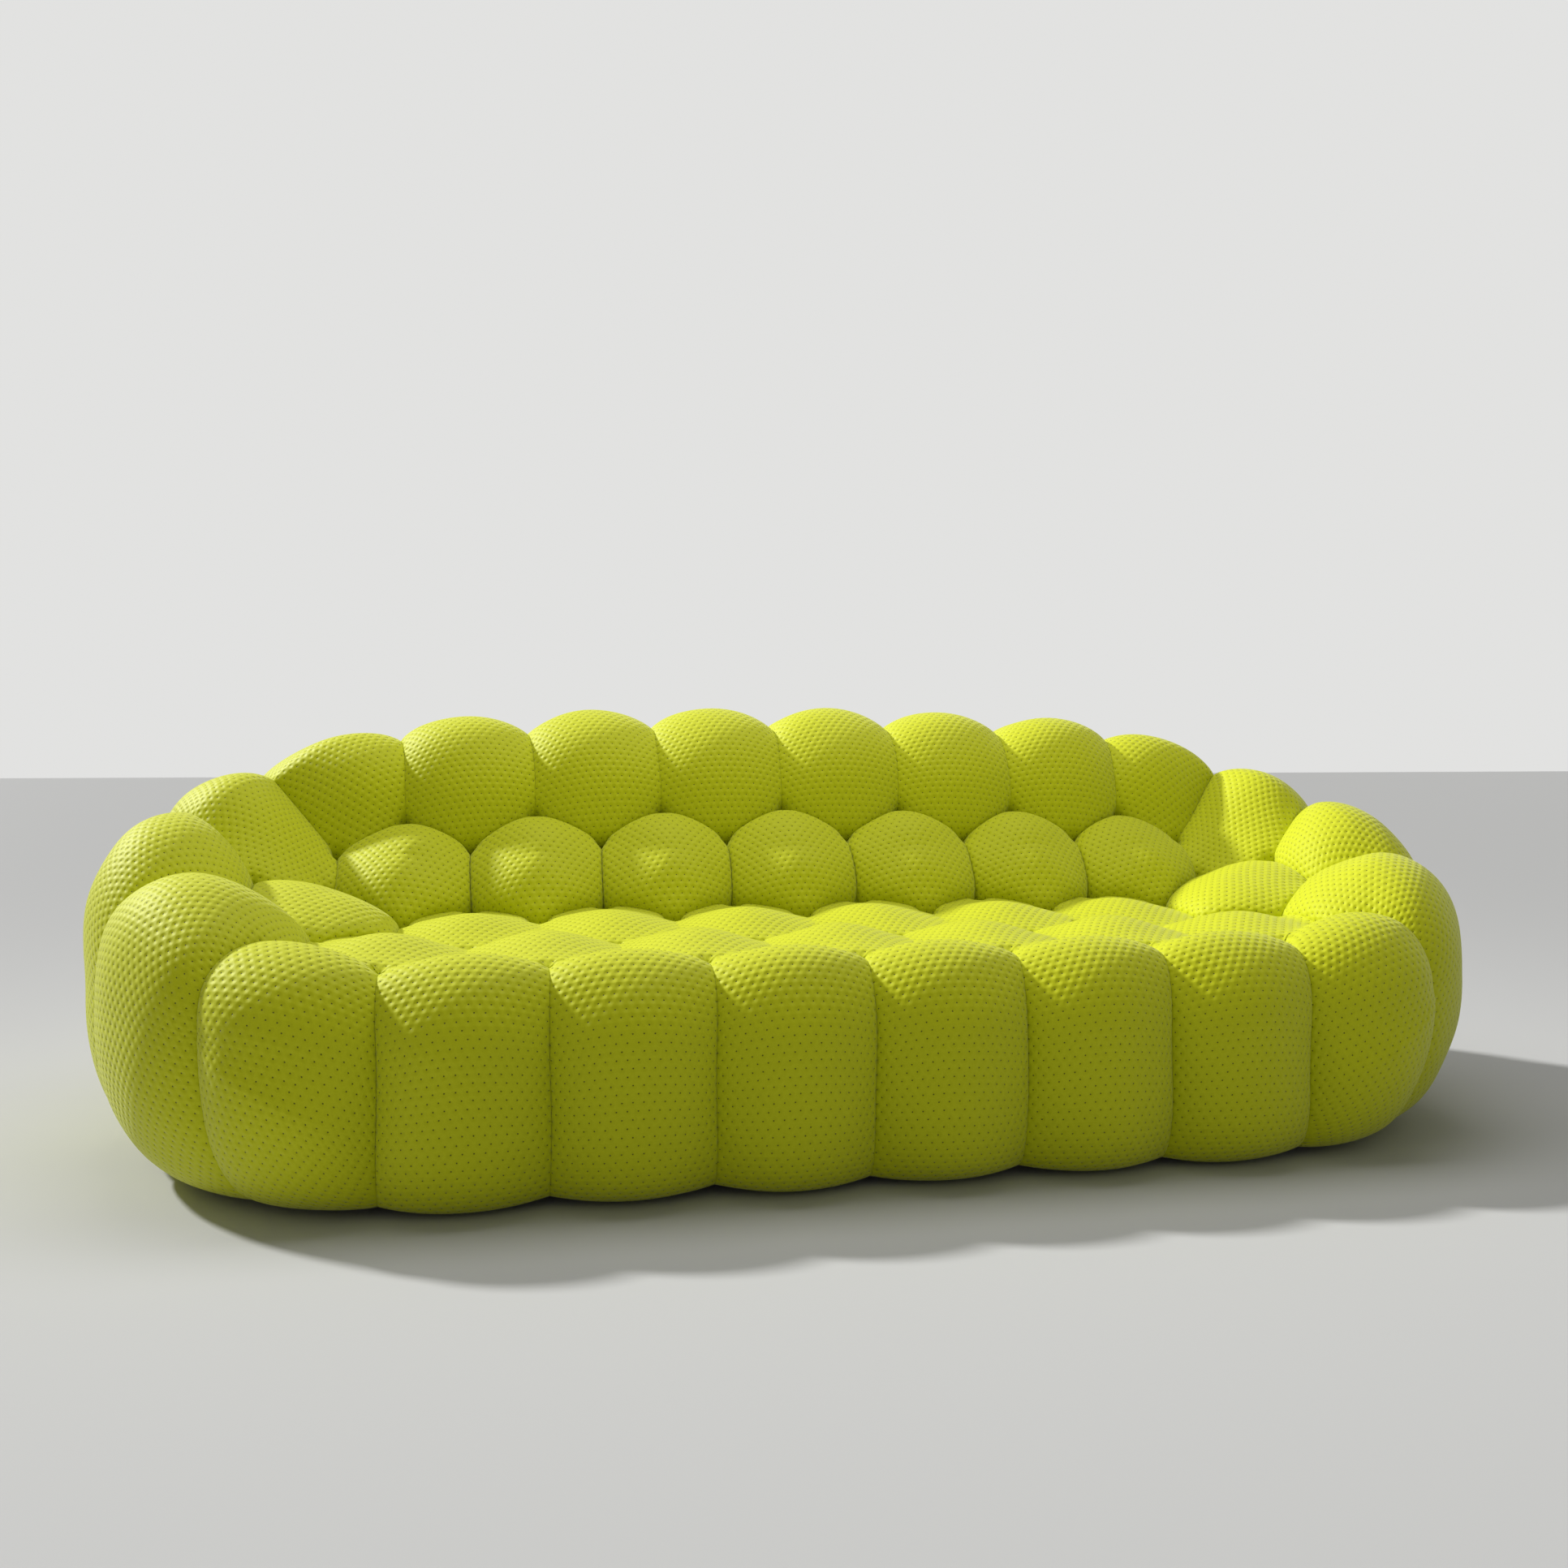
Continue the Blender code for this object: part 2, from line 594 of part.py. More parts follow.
def straps(name, length, width, along, across, place, tilt):
    """Elastic straps crossed and sewn into one mat: along run lengthways, across run crossways."""
    def edges(extent, count):
        spacing = (extent - STRAP_WIDTH) / (count - 1)
        starts = [-extent / 2 + spacing * step for step in range(count)]
        return [edge for start in starts for edge in (start, start + STRAP_WIDTH)]

    xs, ys = edges(length, across), edges(width, along)
    shape = bmesh.new()
    grid = {}

    def corner(column, row):
        if (column, row) not in grid:
            grid[column, row] = shape.verts.new((xs[column], ys[row], 0))
        return grid[column, row]

    for column in range(len(xs) - 1):
        for row in range(len(ys) - 1):
            if column % 2 and row % 2:
                continue
            around = ((column, row), (column + 1, row), (column + 1, row + 1), (column, row + 1))
            shape.faces.new([corner(*at) for at in around])
    raised = bmesh.ops.extrude_face_region(shape, geom=shape.faces[:])["geom"]
    lifted = [item for item in raised if isinstance(item, bmesh.types.BMVert)]
    bmesh.ops.translate(shape, verts=lifted, vec=(0, 0, STRAP))
    bmesh.ops.transform(shape, matrix=Matrix.Rotation(tilt, 4, "X"), verts=shape.verts)
    bmesh.ops.translate(shape, verts=shape.verts, vec=place)
    shape.verts.index_update()
    points = [vertex.co.copy() for vertex in shape.verts]
    faces = [[vertex.index for vertex in face.verts] for face in shape.faces]
    shape.free()
    return solid(name, points, faces, WEBBING, smooth=False)


# Heights of the stack from the floor up
LINER_BOTTOM = GLIDE_HEIGHT + GAP
BASE_BOTTOM = LINER_BOTTOM + LINER + GAP
BASE_TOP = BASE_BOTTOM + BOARD
FRAME_BOTTOM = BASE_TOP + GAP
CORE_TOP = SEAT_BASE_HEIGHT - GAP
CORE_BOTTOM = CORE_TOP - CORE_HEIGHT
STRAP_BOTTOM = CORE_BOTTOM - GAP - STRAP
RIB_TOP = STRAP_BOTTOM - GAP
SLOPE_ANGLE = math.atan(BACK_SLOPE)
SLOPE_CLEARANCE = 2 * GAP
INNER_FRONT = FRONT_FACE_Y + RING_FOAM + 2 * GAP + BOARD
INNER_REAR = REAR_FACE_Y - RING_FOAM - 2 * GAP - BOARD


def slope_point(y, depth):
    """Height of a line this far below the back support, square to it."""
    return SEAT_BASE_HEIGHT + BACK_SLOPE * (y - BACK_SLOPE_START) - depth / math.cos(SLOPE_ANGLE)


def rib(name, x):
    """A plywood rib: level under the seat, sloping up under the back, upright at the rear."""
    under = SLOPE_CLEARANCE + STRAP + GAP
    bend = BACK_SLOPE_START - (SEAT_BASE_HEIGHT - RIB_TOP - under / math.cos(SLOPE_ANGLE)) / BACK_SLOPE
    top = BACK_FRAME_TOP - GAP
    shoulder = BACK_SLOPE_START + (top - SEAT_BASE_HEIGHT + under / math.cos(SLOPE_ANGLE)) / BACK_SLOPE
    outline = (
        (INNER_FRONT, FRAME_BOTTOM),
        (INNER_REAR, FRAME_BOTTOM),
        (INNER_REAR, top),
        (shoulder, top),
        (bend, RIB_TOP),
        (INNER_FRONT, RIB_TOP),
    )
    count = len(outline)
    points = [(x + side * BOARD / 2, y, z) for side in (-1, 1) for y, z in outline]
    faces = [tuple(range(count)), tuple(range(count, 2 * count))]
    for side in range(count):
        following = (side + 1) % count
        faces.append((side, following, count + following, count + side))
    return solid(name, points, faces, PLYWOOD, smooth=False)


def glide(name, x, y):
    """A round plastic glide with a softened rim."""
    shape = bmesh.new()
    sizes = {"radius1": GLIDE_RADIUS, "radius2": GLIDE_RADIUS, "depth": GLIDE_HEIGHT}
    made = bmesh.ops.create_cone(shape, cap_ends=True, segments=20, **sizes)
    bmesh.ops.translate(shape, verts=made["verts"], vec=(x, y, GLIDE_HEIGHT / 2))
    rims = [edge for edge in shape.edges if all(vertex.co.z < GAP for vertex in edge.verts)]
    bmesh.ops.bevel(shape, geom=rims, offset=GLIDE_HEIGHT / 8, segments=1, affect="EDGES")
    shape.verts.index_update()
    points = [vertex.co.copy() for vertex in shape.verts]
    faces = [[vertex.index for vertex in face.verts] for face in shape.faces]
    shape.free()
    return solid(name, points, faces, GLIDE_PLASTIC)


# The ring: eight front pads from left to right, three round each end, eight along the back.
# Pad number n lies between crease n and the next one, and crease 0 is the leftmost of the front.
FRONT_PADS = [21, 0, 1, 2, 3, 4, 5, 6]
RIGHT_PADS = [7, 8, 9]
BACK_PADS = [17, 16, 15, 14, 13, 12, 11, 10]
LEFT_PADS = [20, 19, 18]
for label, numbers in (
    ("front_pad", FRONT_PADS),
    ("right_arm_pad", RIGHT_PADS),
    ("back_rim_pad", BACK_PADS),
    ("left_arm_pad", LEFT_PADS),
):
    for order, number in enumerate(numbers, 1):
        ring_pad(f"{label}_{order}", number)

# The pads inside the ring and the seat
for order, cell in enumerate(BACK_CELLS, 1):
    inner_pad(f"backrest_pad_{order}", cell)
inner_pad("left_arm_inner_pad", ARM_CELLS[0])
inner_pad("right_arm_inner_pad", ARM_CELLS[1])
seat_cushion("seat_cushion")

# The plywood frame: base, upright boards all round and ribs across
plate("base_board", frame_outline(GAP), BASE_BOTTOM, BASE_TOP, PLYWOOD)
board("front_rail", 0, 6, FRAME_BOTTOM)
board("rear_panel", 11, 17, FRAME_BOTTOM)
for step in range(5):
    board(f"right_end_board_{step + 1}", 6 + step, 7 + step, FRAME_BOTTOM)
    board(f"left_end_board_{step + 1}", (22 - step) % 22, 21 - step, FRAME_BOTTOM)
for order, column in enumerate((-5, -2, 2, 5), 1):
    rib(f"rib_{order}", column * PITCH / 2)

# What carries the seat and the backrest
core = frame_outline(2 * GAP + BOARD)
CORE_REAR = BACK_SLOPE_START - (SEAT_BASE_HEIGHT - CORE_BOTTOM) / BACK_SLOPE - STRAP
turn_share = (CORE_REAR - core[8][1]) / (core[9][1] - core[8][1])
turn_x = mix(core[8][0], core[9][0], turn_share)
core_outline = [core[index] for index in (20, 21, *range(9))]
core_outline += [(turn_x, CORE_REAR), (-turn_x, CORE_REAR)]
plate("seat_foam_core", core_outline, CORE_BOTTOM, CORE_TOP, FOAM)
MAT_DEPTH = CORE_REAR - INNER_FRONT - STRAP
MAT_MIDDLE = (CORE_REAR + INNER_FRONT - STRAP) / 2
straps("seat_webbing", 6 * PITCH - BOARD, MAT_DEPTH, 4, 8, (0, MAT_MIDDLE, STRAP_BOTTOM), 0.0)
SLOPE_LENGTH = (BACK_FRAME_TOP - CORE_TOP) / math.sin(SLOPE_ANGLE) - 2 * STRAP
slope_middle = BACK_SLOPE_START + SLOPE_LENGTH / 2 * math.cos(SLOPE_ANGLE)
slope_place = (
    0,
    slope_middle + (SLOPE_CLEARANCE + STRAP) * math.sin(SLOPE_ANGLE),
    slope_point(slope_middle, 0) - (SLOPE_CLEARANCE + STRAP) * math.cos(SLOPE_ANGLE),
)
straps("back_webbing", 6 * PITCH - BOARD, SLOPE_LENGTH, 3, 8, slope_place, SLOPE_ANGLE)

# Under the base: a cloth liner and six glides
plate("base_liner", frame_outline(BOARD), LINER_BOTTOM, LINER_BOTTOM + LINER, LINER_CLOTH)
for side, x in (("left", -3 * PITCH), ("middle", 0.0), ("right", 3 * PITCH)):
    glide(f"front_glide_{side}", x, INNER_FRONT + GLIDE_RADIUS + BOARD)
    glide(f"rear_glide_{side}", x, INNER_REAR - GLIDE_RADIUS - BOARD)

# The origin stands on the floor under the middle of the whole sofa
bpy.context.view_layer.update()
depths = [vertex.co.y for child in root.children for vertex in child.data.vertices]
root.location.y = -(min(depths) + max(depths)) / 2
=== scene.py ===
import math

import bpy
import numpy as np
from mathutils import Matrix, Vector


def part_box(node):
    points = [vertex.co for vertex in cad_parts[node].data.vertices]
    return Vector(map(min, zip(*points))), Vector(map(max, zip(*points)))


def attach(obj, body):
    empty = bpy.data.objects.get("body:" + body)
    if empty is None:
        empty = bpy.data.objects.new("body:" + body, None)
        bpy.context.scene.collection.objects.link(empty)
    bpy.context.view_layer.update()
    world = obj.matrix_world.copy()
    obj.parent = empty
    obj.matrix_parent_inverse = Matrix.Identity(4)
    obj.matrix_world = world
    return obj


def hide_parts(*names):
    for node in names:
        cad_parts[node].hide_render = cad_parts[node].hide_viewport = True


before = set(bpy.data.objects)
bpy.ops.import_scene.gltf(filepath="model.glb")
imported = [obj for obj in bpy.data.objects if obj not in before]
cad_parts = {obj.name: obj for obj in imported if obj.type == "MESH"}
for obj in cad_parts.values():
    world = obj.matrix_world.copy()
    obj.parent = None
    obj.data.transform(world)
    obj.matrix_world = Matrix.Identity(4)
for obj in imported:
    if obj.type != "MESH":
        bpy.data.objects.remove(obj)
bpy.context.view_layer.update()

# The studio: a plain pale floor, a key light high up on the left and behind, as in the photograph,
# a broad lamp overhead and the camera low in front, at the photograph's viewing angle.
LOWEST = min(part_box(name)[0].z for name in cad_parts)
FLOOR_SIZE = 60.0
FLOOR_COLOUR = (0.56, 0.56, 0.55, 1)
FLOOR_ROUGHNESS = 0.85
SOFT_LIGHT_COLOUR = (1.0, 1.0, 1.0, 1)
SOFT_LIGHT_STRENGTH = 0.18
BACKDROP_COLOUR = (0.76, 0.76, 0.75, 1)
BACKDROP_STRENGTH = 1.0
KEY_PLACE = (-2.6, 1.9, 2.45)
KEY_STRENGTH = 3.1
KEY_WIDTH = math.radians(4)  # as seen from the sofa, which softens the shadows
OVERHEAD_PLACE = (0.0, -0.1, 2.9)
OVERHEAD_SIZE = (3.2, 1.6)
OVERHEAD_POWER = 36
CAMERA_PLACE = (-0.6002, -2.7848, 0.7265)
CAMERA_TURN = 0.2045  # radians, to the right of straight back
CAMERA_TILT = -0.0283
CAMERA_LENS = 31.92
CAMERA_FILM = 36  # side of the square frame, in mm
CAMERA_REACH = 100

bpy.ops.object.select_all(action="DESELECT")
bpy.ops.mesh.primitive_plane_add(size=FLOOR_SIZE, location=(0, 0, LOWEST))
floor = bpy.context.object
floor.name = "studio_floor"
floor_paint = bpy.data.materials.new("pale_floor")
floor_paint.use_nodes = True
floor_shader = floor_paint.node_tree.nodes["Principled BSDF"]
floor_shader.inputs["Base Color"].default_value = FLOOR_COLOUR
floor_shader.inputs["Roughness"].default_value = FLOOR_ROUGHNESS
floor.data.materials.append(floor_paint)

world = bpy.data.worlds.new("studio_light")
bpy.context.scene.world = world
world.use_nodes = True
sky = world.node_tree
sky.nodes.clear()
seen, any_of_two, any_of_three, soft, backdrop, choice, out = (
    sky.nodes.new("ShaderNode" + kind) for kind in (
        "LightPath", "Math", "Math", "Background", "Background", "MixShader", "OutputWorld"))
any_of_two.use_clamp = any_of_three.use_clamp = True
soft.inputs["Color"].default_value = SOFT_LIGHT_COLOUR
soft.inputs["Strength"].default_value = SOFT_LIGHT_STRENGTH
backdrop.inputs["Color"].default_value = BACKDROP_COLOUR
backdrop.inputs["Strength"].default_value = BACKDROP_STRENGTH
for start, end in (
        (seen.outputs["Is Camera Ray"], any_of_two.inputs[0]),
        (seen.outputs["Is Glossy Ray"], any_of_two.inputs[1]),
        (any_of_two.outputs[0], any_of_three.inputs[0]),
        (seen.outputs["Is Transmission Ray"], any_of_three.inputs[1]),
        (any_of_three.outputs[0], choice.inputs["Fac"]),
        (soft.outputs[0], choice.inputs[1]),
        (backdrop.outputs[0], choice.inputs[2]),
        (choice.outputs[0], out.inputs["Surface"])):
    sky.links.new(start, end)

bpy.ops.object.light_add(type="SUN", location=KEY_PLACE)
key = bpy.context.object
key.name = "key_lamp"
key.data.energy = KEY_STRENGTH
key.data.angle = KEY_WIDTH
key.rotation_euler = Vector(KEY_PLACE).to_track_quat("Z", "Y").to_euler()

bpy.ops.object.light_add(type="AREA", location=OVERHEAD_PLACE)
overhead = bpy.context.object
overhead.name = "overhead_lamp"
overhead.data.shape = "RECTANGLE"
overhead.data.size, overhead.data.size_y = OVERHEAD_SIZE
overhead.data.energy = OVERHEAD_POWER

bpy.ops.object.camera_add(location=CAMERA_PLACE, rotation=(math.pi / 2 + CAMERA_TILT, 0, -CAMERA_TURN))
camera = bpy.context.object
camera.data.sensor_width = CAMERA_FILM
camera.data.lens = CAMERA_LENS
camera.data.clip_end = CAMERA_REACH
bpy.context.scene.camera = camera
bpy.context.scene.view_settings.view_transform = "Standard"


# The glides: six round feet of black moulded plastic, nailed under the base, out of sight from
# where one stands. The floor has scuffed their soles paler.
GLIDE_BLACK = (0.040, 0.040, 0.043)
GLIDE_SCUFFED = (0.17, 0.165, 0.155)
GLIDE_ROUGHNESS = 0.32
SCUFF_ROUGHNESS = 0.35  # added where it is scuffed
SCUFF_HEIGHT = 0.0012
SCUFF_SPREAD = 0.004  # how unevenly high the scuffs reach
DRAG_SCALE = 320.0
DRAG_ROUGHNESS = 0.15
DRAG_DEPTH = 0.0003
MOULD_SCALE = 1500.0
MOULD_DEPTH = 0.00006


class Wire:
    """A socket of a material's node tree that takes part in sums as a number does."""

    def __init__(self, sheet, socket):
        self.sheet, self.socket = sheet, socket

    def reckon(self, operation, *others):
        return self.sheet.node("ShaderNodeMath", {"operation": operation}, [self, *others])

    def __add__(self, other):
        return self.reckon("ADD", other)

    def __sub__(self, other):
        return self.reckon("SUBTRACT", other)

    def __mul__(self, other):
        return self.reckon("MULTIPLY", other)

    def __truediv__(self, other):
        return self.reckon("DIVIDE", other)

    def __rsub__(self, other):
        return self.sheet.node("ShaderNodeMath", {"operation": "SUBTRACT"}, [other, self])

    __radd__, __rmul__ = __add__, __mul__


class Finish:
    """A Principled material, with one method that adds any node to it."""

    def __init__(self, name, **constants):
        self.material = bpy.data.materials.new(name)
        self.material.use_nodes = True
        self.tree = self.material.node_tree
        self.shader = self.tree.nodes["Principled BSDF"]
        for socket, value in constants.items():
            self.shader.inputs[socket.replace("_", " ")].default_value = value

    def node(self, kind, settings=None, values=(), output=0):
        """A new node: its settings first, then its sockets' values or links, by place or by name."""
        made = self.tree.nodes.new(kind)
        for name, value in (settings or {}).items():
            setattr(made, name, value)
        pairs = values.items() if isinstance(values, dict) else enumerate(values)
        for place, value in pairs:
            if isinstance(value, Wire):
                self.tree.links.new(value.socket, made.inputs[place])
            elif isinstance(value, tuple) and len(value) == 3 and made.inputs[place].type == "RGBA":
                made.inputs[place].default_value = (*value, 1)
            else:
                made.inputs[place].default_value = value
        return Wire(self, made.outputs[output])

    def place(self):
        """Where a point lies on its object, in metres."""
        return self.node("ShaderNodeTexCoord", output="Object")

    def axes(self, vector, names):
        """The numbers of a vector along the axes named."""
        return [self.node("ShaderNodeSeparateXYZ", {}, [vector], output=name) for name in names]

    def noise(self, place, scale, detail, twist=0.0):
        """Cloudy noise about a mean of 0.5, with this many blotches to the metre."""
        values = {"Vector": place, "Scale": scale, "Detail": detail, "Distortion": twist}
        return self.node("ShaderNodeTexNoise", {}, values)

    def blend(self, share, first, second):
        """Two colours mixed by a share."""
        settings = {"data_type": "RGBA"}
        return self.node("ShaderNodeMix", settings, {0: share, 6: first, 7: second}, output=2)

    def step(self, value, low, high):
        """0 below low and 1 above high, with a soft step between."""
        settings = {"interpolation_type": "SMOOTHSTEP"}
        values = {"Value": value, "From Min": low, "From Max": high}
        return self.node("ShaderNodeMapRange", settings, values)

    def relief(self, height):
        """Feeds a height in metres to the normal."""
        bump = self.node("ShaderNodeBump", {}, {"Strength": 1.0, "Distance": 1.0, "Height": height})
        self.feed("Normal", bump)

    def feed(self, socket, wire):
        self.tree.links.new(wire.socket, self.shader.inputs[socket])


def glide_plastic():
    plastic = Finish("moulded_glide_plastic")
    place = plastic.place()
    height = plastic.axes(place, "Z")[0]
    mould = plastic.noise(place, MOULD_SCALE, detail=2.0)
    drag = plastic.noise(place, DRAG_SCALE, detail=5.0)
    scuffed = plastic.step(SCUFF_HEIGHT - height + (drag - 0.5) * SCUFF_SPREAD, 0.0, SCUFF_HEIGHT)
    plastic.feed("Base Color", plastic.blend(scuffed, GLIDE_BLACK, GLIDE_SCUFFED))
    plastic.feed("Roughness", scuffed * SCUFF_ROUGHNESS + drag * DRAG_ROUGHNESS + GLIDE_ROUGHNESS)
    plastic.relief(mould * MOULD_DEPTH + drag * scuffed * DRAG_DEPTH)
    return plastic.material


def refinished(material, *nodes):
    """Gives kept nodes of the model this material."""
    for node in nodes:
        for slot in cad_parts[node].material_slots:
            slot.material = material


GLIDES = [f"{row}_glide_{place}" for row in ("front", "rear") for place in ("left", "middle", "right")]
refinished(glide_plastic(), *GLIDES)


# The liner: black spun fibre cloth, stapled flat under the base to keep the dust out. Its fibres
# are fused together at small points in staggered rows.
LINER_BLACK = (0.030, 0.030, 0.031)
LINER_FIBRE = (0.085, 0.085, 0.082)
LINER_ROUGHNESS = 0.9
FIBRE_SCALE = 1100.0
FIBRE_EDGE = (0.42, 0.68)
FIBRE_DEPTH = 0.0001
CLOUD_SCALE = 60.0
CLOUD_SPREAD = 0.3  # between its thick and thin places
BOND_PITCH = 0.0024
BOND_ROW = 0.0013
BOND_RADIUS = 0.0005
BOND_DEPTH = 0.00015


def from_lattice(along, down, pitch, row):
    """Distance of each point from the nearest one of a lattice whose rows are staggered."""
    def off_centre(value, spacing):
        turns = value / spacing
        return (turns - turns.reckon("ROUND")) * spacing

    def square_distance(shift_along, shift_down):
        across = off_centre(along + shift_along, pitch)
        below = off_centre(down + shift_down, 2 * row)
        return across * across + below * below

    return square_distance(0.0, 0.0).reckon("MINIMUM", square_distance(pitch / 2, row)).reckon("SQRT")


def liner_cloth():
    cloth = Finish("spun_liner_cloth", Roughness=LINER_ROUGHNESS)
    place = cloth.place()
    along, down = cloth.axes(place, "XY")
    fibre = cloth.noise(place, FIBRE_SCALE, detail=4.0)
    cloud = cloth.noise(place, CLOUD_SCALE, detail=3.0)
    loose = cloth.step(from_lattice(along, down, BOND_PITCH, BOND_ROW), 0.0, BOND_RADIUS)
    strands = cloth.step(fibre + (cloud - 0.5) * CLOUD_SPREAD, *FIBRE_EDGE)
    cloth.feed("Base Color", cloth.blend(strands * loose, LINER_BLACK, LINER_FIBRE))
    cloth.relief(loose * BOND_DEPTH + strands * FIBRE_DEPTH)
    return cloth.material


refinished(liner_cloth(), "base_liner")


# The frame: eighteen millimetre birch plywood, glued and screwed: the base board, the rail, panel
# and boards that stand round its edge, and four ribs. Grain shows on the faces, plies on the edges.
BIRCH = (0.66, 0.49, 0.31)
BIRCH_GRAIN = (0.50, 0.335, 0.185)
BIRCH_ROUGHNESS = 0.45
FACE_SMOOTHNESS = 0.1  # by which the sanded faces are smoother
FACE_TURN = (0.6, 0.8)  # from edge to face, by how squarely a surface faces through the board
FIGURE_SCALE = 26.0
FIGURE_TWIST = 0.6
FIGURE_RINGS = 60.0
FIGURE_SHARE = 0.35
GRAIN_STRETCH = 18.0
PORE_SCALE = 900.0
PORE_EDGE = (0.5, 0.72)
PORE_SHARE = 0.45
PORE_ROUGHNESS = 0.2
PORE_DEPTH = 0.00012
PLY_GLUE = (0.27, 0.165, 0.09)
PLY_PITCH = 0.0028
PLY_EDGE = (-0.2, 0.5)
PLY_SPREAD = 0.5  # by which pores break the edge of a ply
PLY_DEPTH = 0.00015
GLUE_EDGE = (0.16, 0.02)


def birch_plywood(board):
    ply = Finish(f"birch_plywood_of_{board.name}")
    through = max(board.data.polygons, key=lambda face: face.area).normal
    along = Vector((1, 0, 0)) if abs(through.z) > 0.5 else through.cross(Vector((0, 0, 1)))
    place, facing = ply.place(), ply.node("ShaderNodeTexCoord", output="Normal")

    def measured(vector, direction):
        settings = {"operation": "DOT_PRODUCT"}
        return ply.node("ShaderNodeVectorMath", settings, [vector, tuple(direction)], output="Value")

    run, depth = measured(place, along), measured(place, through)
    height = measured(place, through.cross(along))
    grain_place = ply.node("ShaderNodeCombineXYZ", {}, [run / GRAIN_STRETCH, depth, height])
    figure = ply.noise(grain_place, FIGURE_SCALE, detail=3.0, twist=FIGURE_TWIST)
    pores = ply.noise(grain_place, PORE_SCALE, detail=2.0)
    rings = (figure * FIGURE_RINGS).reckon("SINE") * 0.5 + 0.5
    grain = rings * FIGURE_SHARE + ply.step(pores, *PORE_EDGE) * PORE_SHARE
    layer = (depth * (math.tau / PLY_PITCH)).reckon("SINE")
    plies = ply.blend(ply.step(layer + (pores - 0.5) * PLY_SPREAD, *PLY_EDGE), BIRCH, BIRCH_GRAIN)
    glued = ply.blend(ply.step(layer.reckon("ABSOLUTE"), *GLUE_EDGE), plies, PLY_GLUE)
    on_face = ply.step(measured(facing, through).reckon("ABSOLUTE"), *FACE_TURN)
    ply.feed("Base Color", ply.blend(on_face, glued, ply.blend(grain, BIRCH, BIRCH_GRAIN)))
    ply.feed("Roughness", pores * PORE_ROUGHNESS + BIRCH_ROUGHNESS - on_face * FACE_SMOOTHNESS)
    ply.relief(pores * PORE_DEPTH + layer * (1 - on_face) * PLY_DEPTH)
    return ply.material


BOARDS = ["base_board", "front_rail", "rear_panel"]
BOARDS += [f"{side}_end_board_{step}" for side in ("left", "right") for step in range(1, 6)]
BOARDS += [f"rib_{order}" for order in range(1, 5)]
for name in BOARDS:
    refinished(birch_plywood(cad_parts[name]), name)


# The webbing: elastic straps of rubber thread and black polyester, crossed and sewn into two mats
# and stapled to the ribs, one level under the seat and one sloping under the back.
WEBBING_BLACK = (0.040, 0.041, 0.045)
WEBBING_GREY = (0.19, 0.19, 0.20)
WEBBING_ROUGHNESS = 0.75
WEBBING_EDGE = (0.15, 1.1)  # from black to grey
RIB_PITCH = 0.0026
PICK_PITCH = 0.0017
WEAVE_DEPTH = 0.0005
LINT_SCALE = 700.0
LINT_SPREAD = 0.6
LINT_DEPTH = 0.0001


def elastic_webbing():
    strap = Finish("woven_elastic_webbing", Roughness=WEBBING_ROUGHNESS)
    place = strap.place()
    across, down = strap.axes(place, "XY")
    rib = (across * (math.pi / RIB_PITCH)).reckon("SINE").reckon("ABSOLUTE")
    pick = (down * (math.pi / PICK_PITCH)).reckon("SINE").reckon("ABSOLUTE")
    lint = strap.noise(place, LINT_SCALE, detail=3.0)
    raised = rib * pick
    shade = strap.step(raised + (lint - 0.5) * LINT_SPREAD, *WEBBING_EDGE)
    strap.feed("Base Color", strap.blend(shade, WEBBING_BLACK, WEBBING_GREY))
    strap.relief(raised * WEAVE_DEPTH + lint * LINT_DEPTH)
    return strap.material


refinished(elastic_webbing(), "seat_webbing", "back_webbing")


# The seat core: a slab of cream upholstery foam, sawn with its cells open, that lies on the
# webbing under the seat cushion and is yellower where the air has reached it.
FOAM_CREAM = (0.80, 0.70, 0.42)
FOAM_YELLOWED = (0.70, 0.53, 0.22)
FOAM_ROUGHNESS = 0.95
AIR_SCALE = 7.0
AIR_EDGE = (0.35, 0.7)  # from cream to yellowed
# painted shade: the open cells and pits are coloured darker, standing in for the shade inside them
CELL_SHADE_COLOUR = (0.50, 0.38, 0.17)
CELL_SCALE = 620.0
CELL_EDGE = (0.42, 0.18)
CELL_SHADE_SHARE = 0.6
CELL_DEPTH = 0.0004
PIT_SCALE = 210.0
PIT_EDGE = (0.22, 0.10)
PIT_SHARE = 0.3
PIT_DEPTH = 0.0006


def seat_foam():
    foam = Finish("open_cell_seat_foam", Roughness=FOAM_ROUGHNESS)
    place = foam.place()
    cells, pits = (foam.node("ShaderNodeTexVoronoi", {}, {"Vector": place, "Scale": scale})
                   for scale in (CELL_SCALE, PIT_SCALE))
    open_cell, pit = foam.step(cells, *CELL_EDGE), foam.step(pits, *PIT_EDGE)
    aired = foam.step(foam.noise(place, AIR_SCALE, detail=3.0), *AIR_EDGE)
    aged = foam.blend(aired, FOAM_CREAM, FOAM_YELLOWED)
    # painted shade in the open cells and pits
    foam.feed("Base Color", foam.blend(open_cell * CELL_SHADE_SHARE + pit * PIT_SHARE, aged, CELL_SHADE_COLOUR))
    foam.relief(open_cell * -CELL_DEPTH - pit * PIT_DEPTH)
    return foam.material


refinished(seat_foam(), "seat_foam_core")
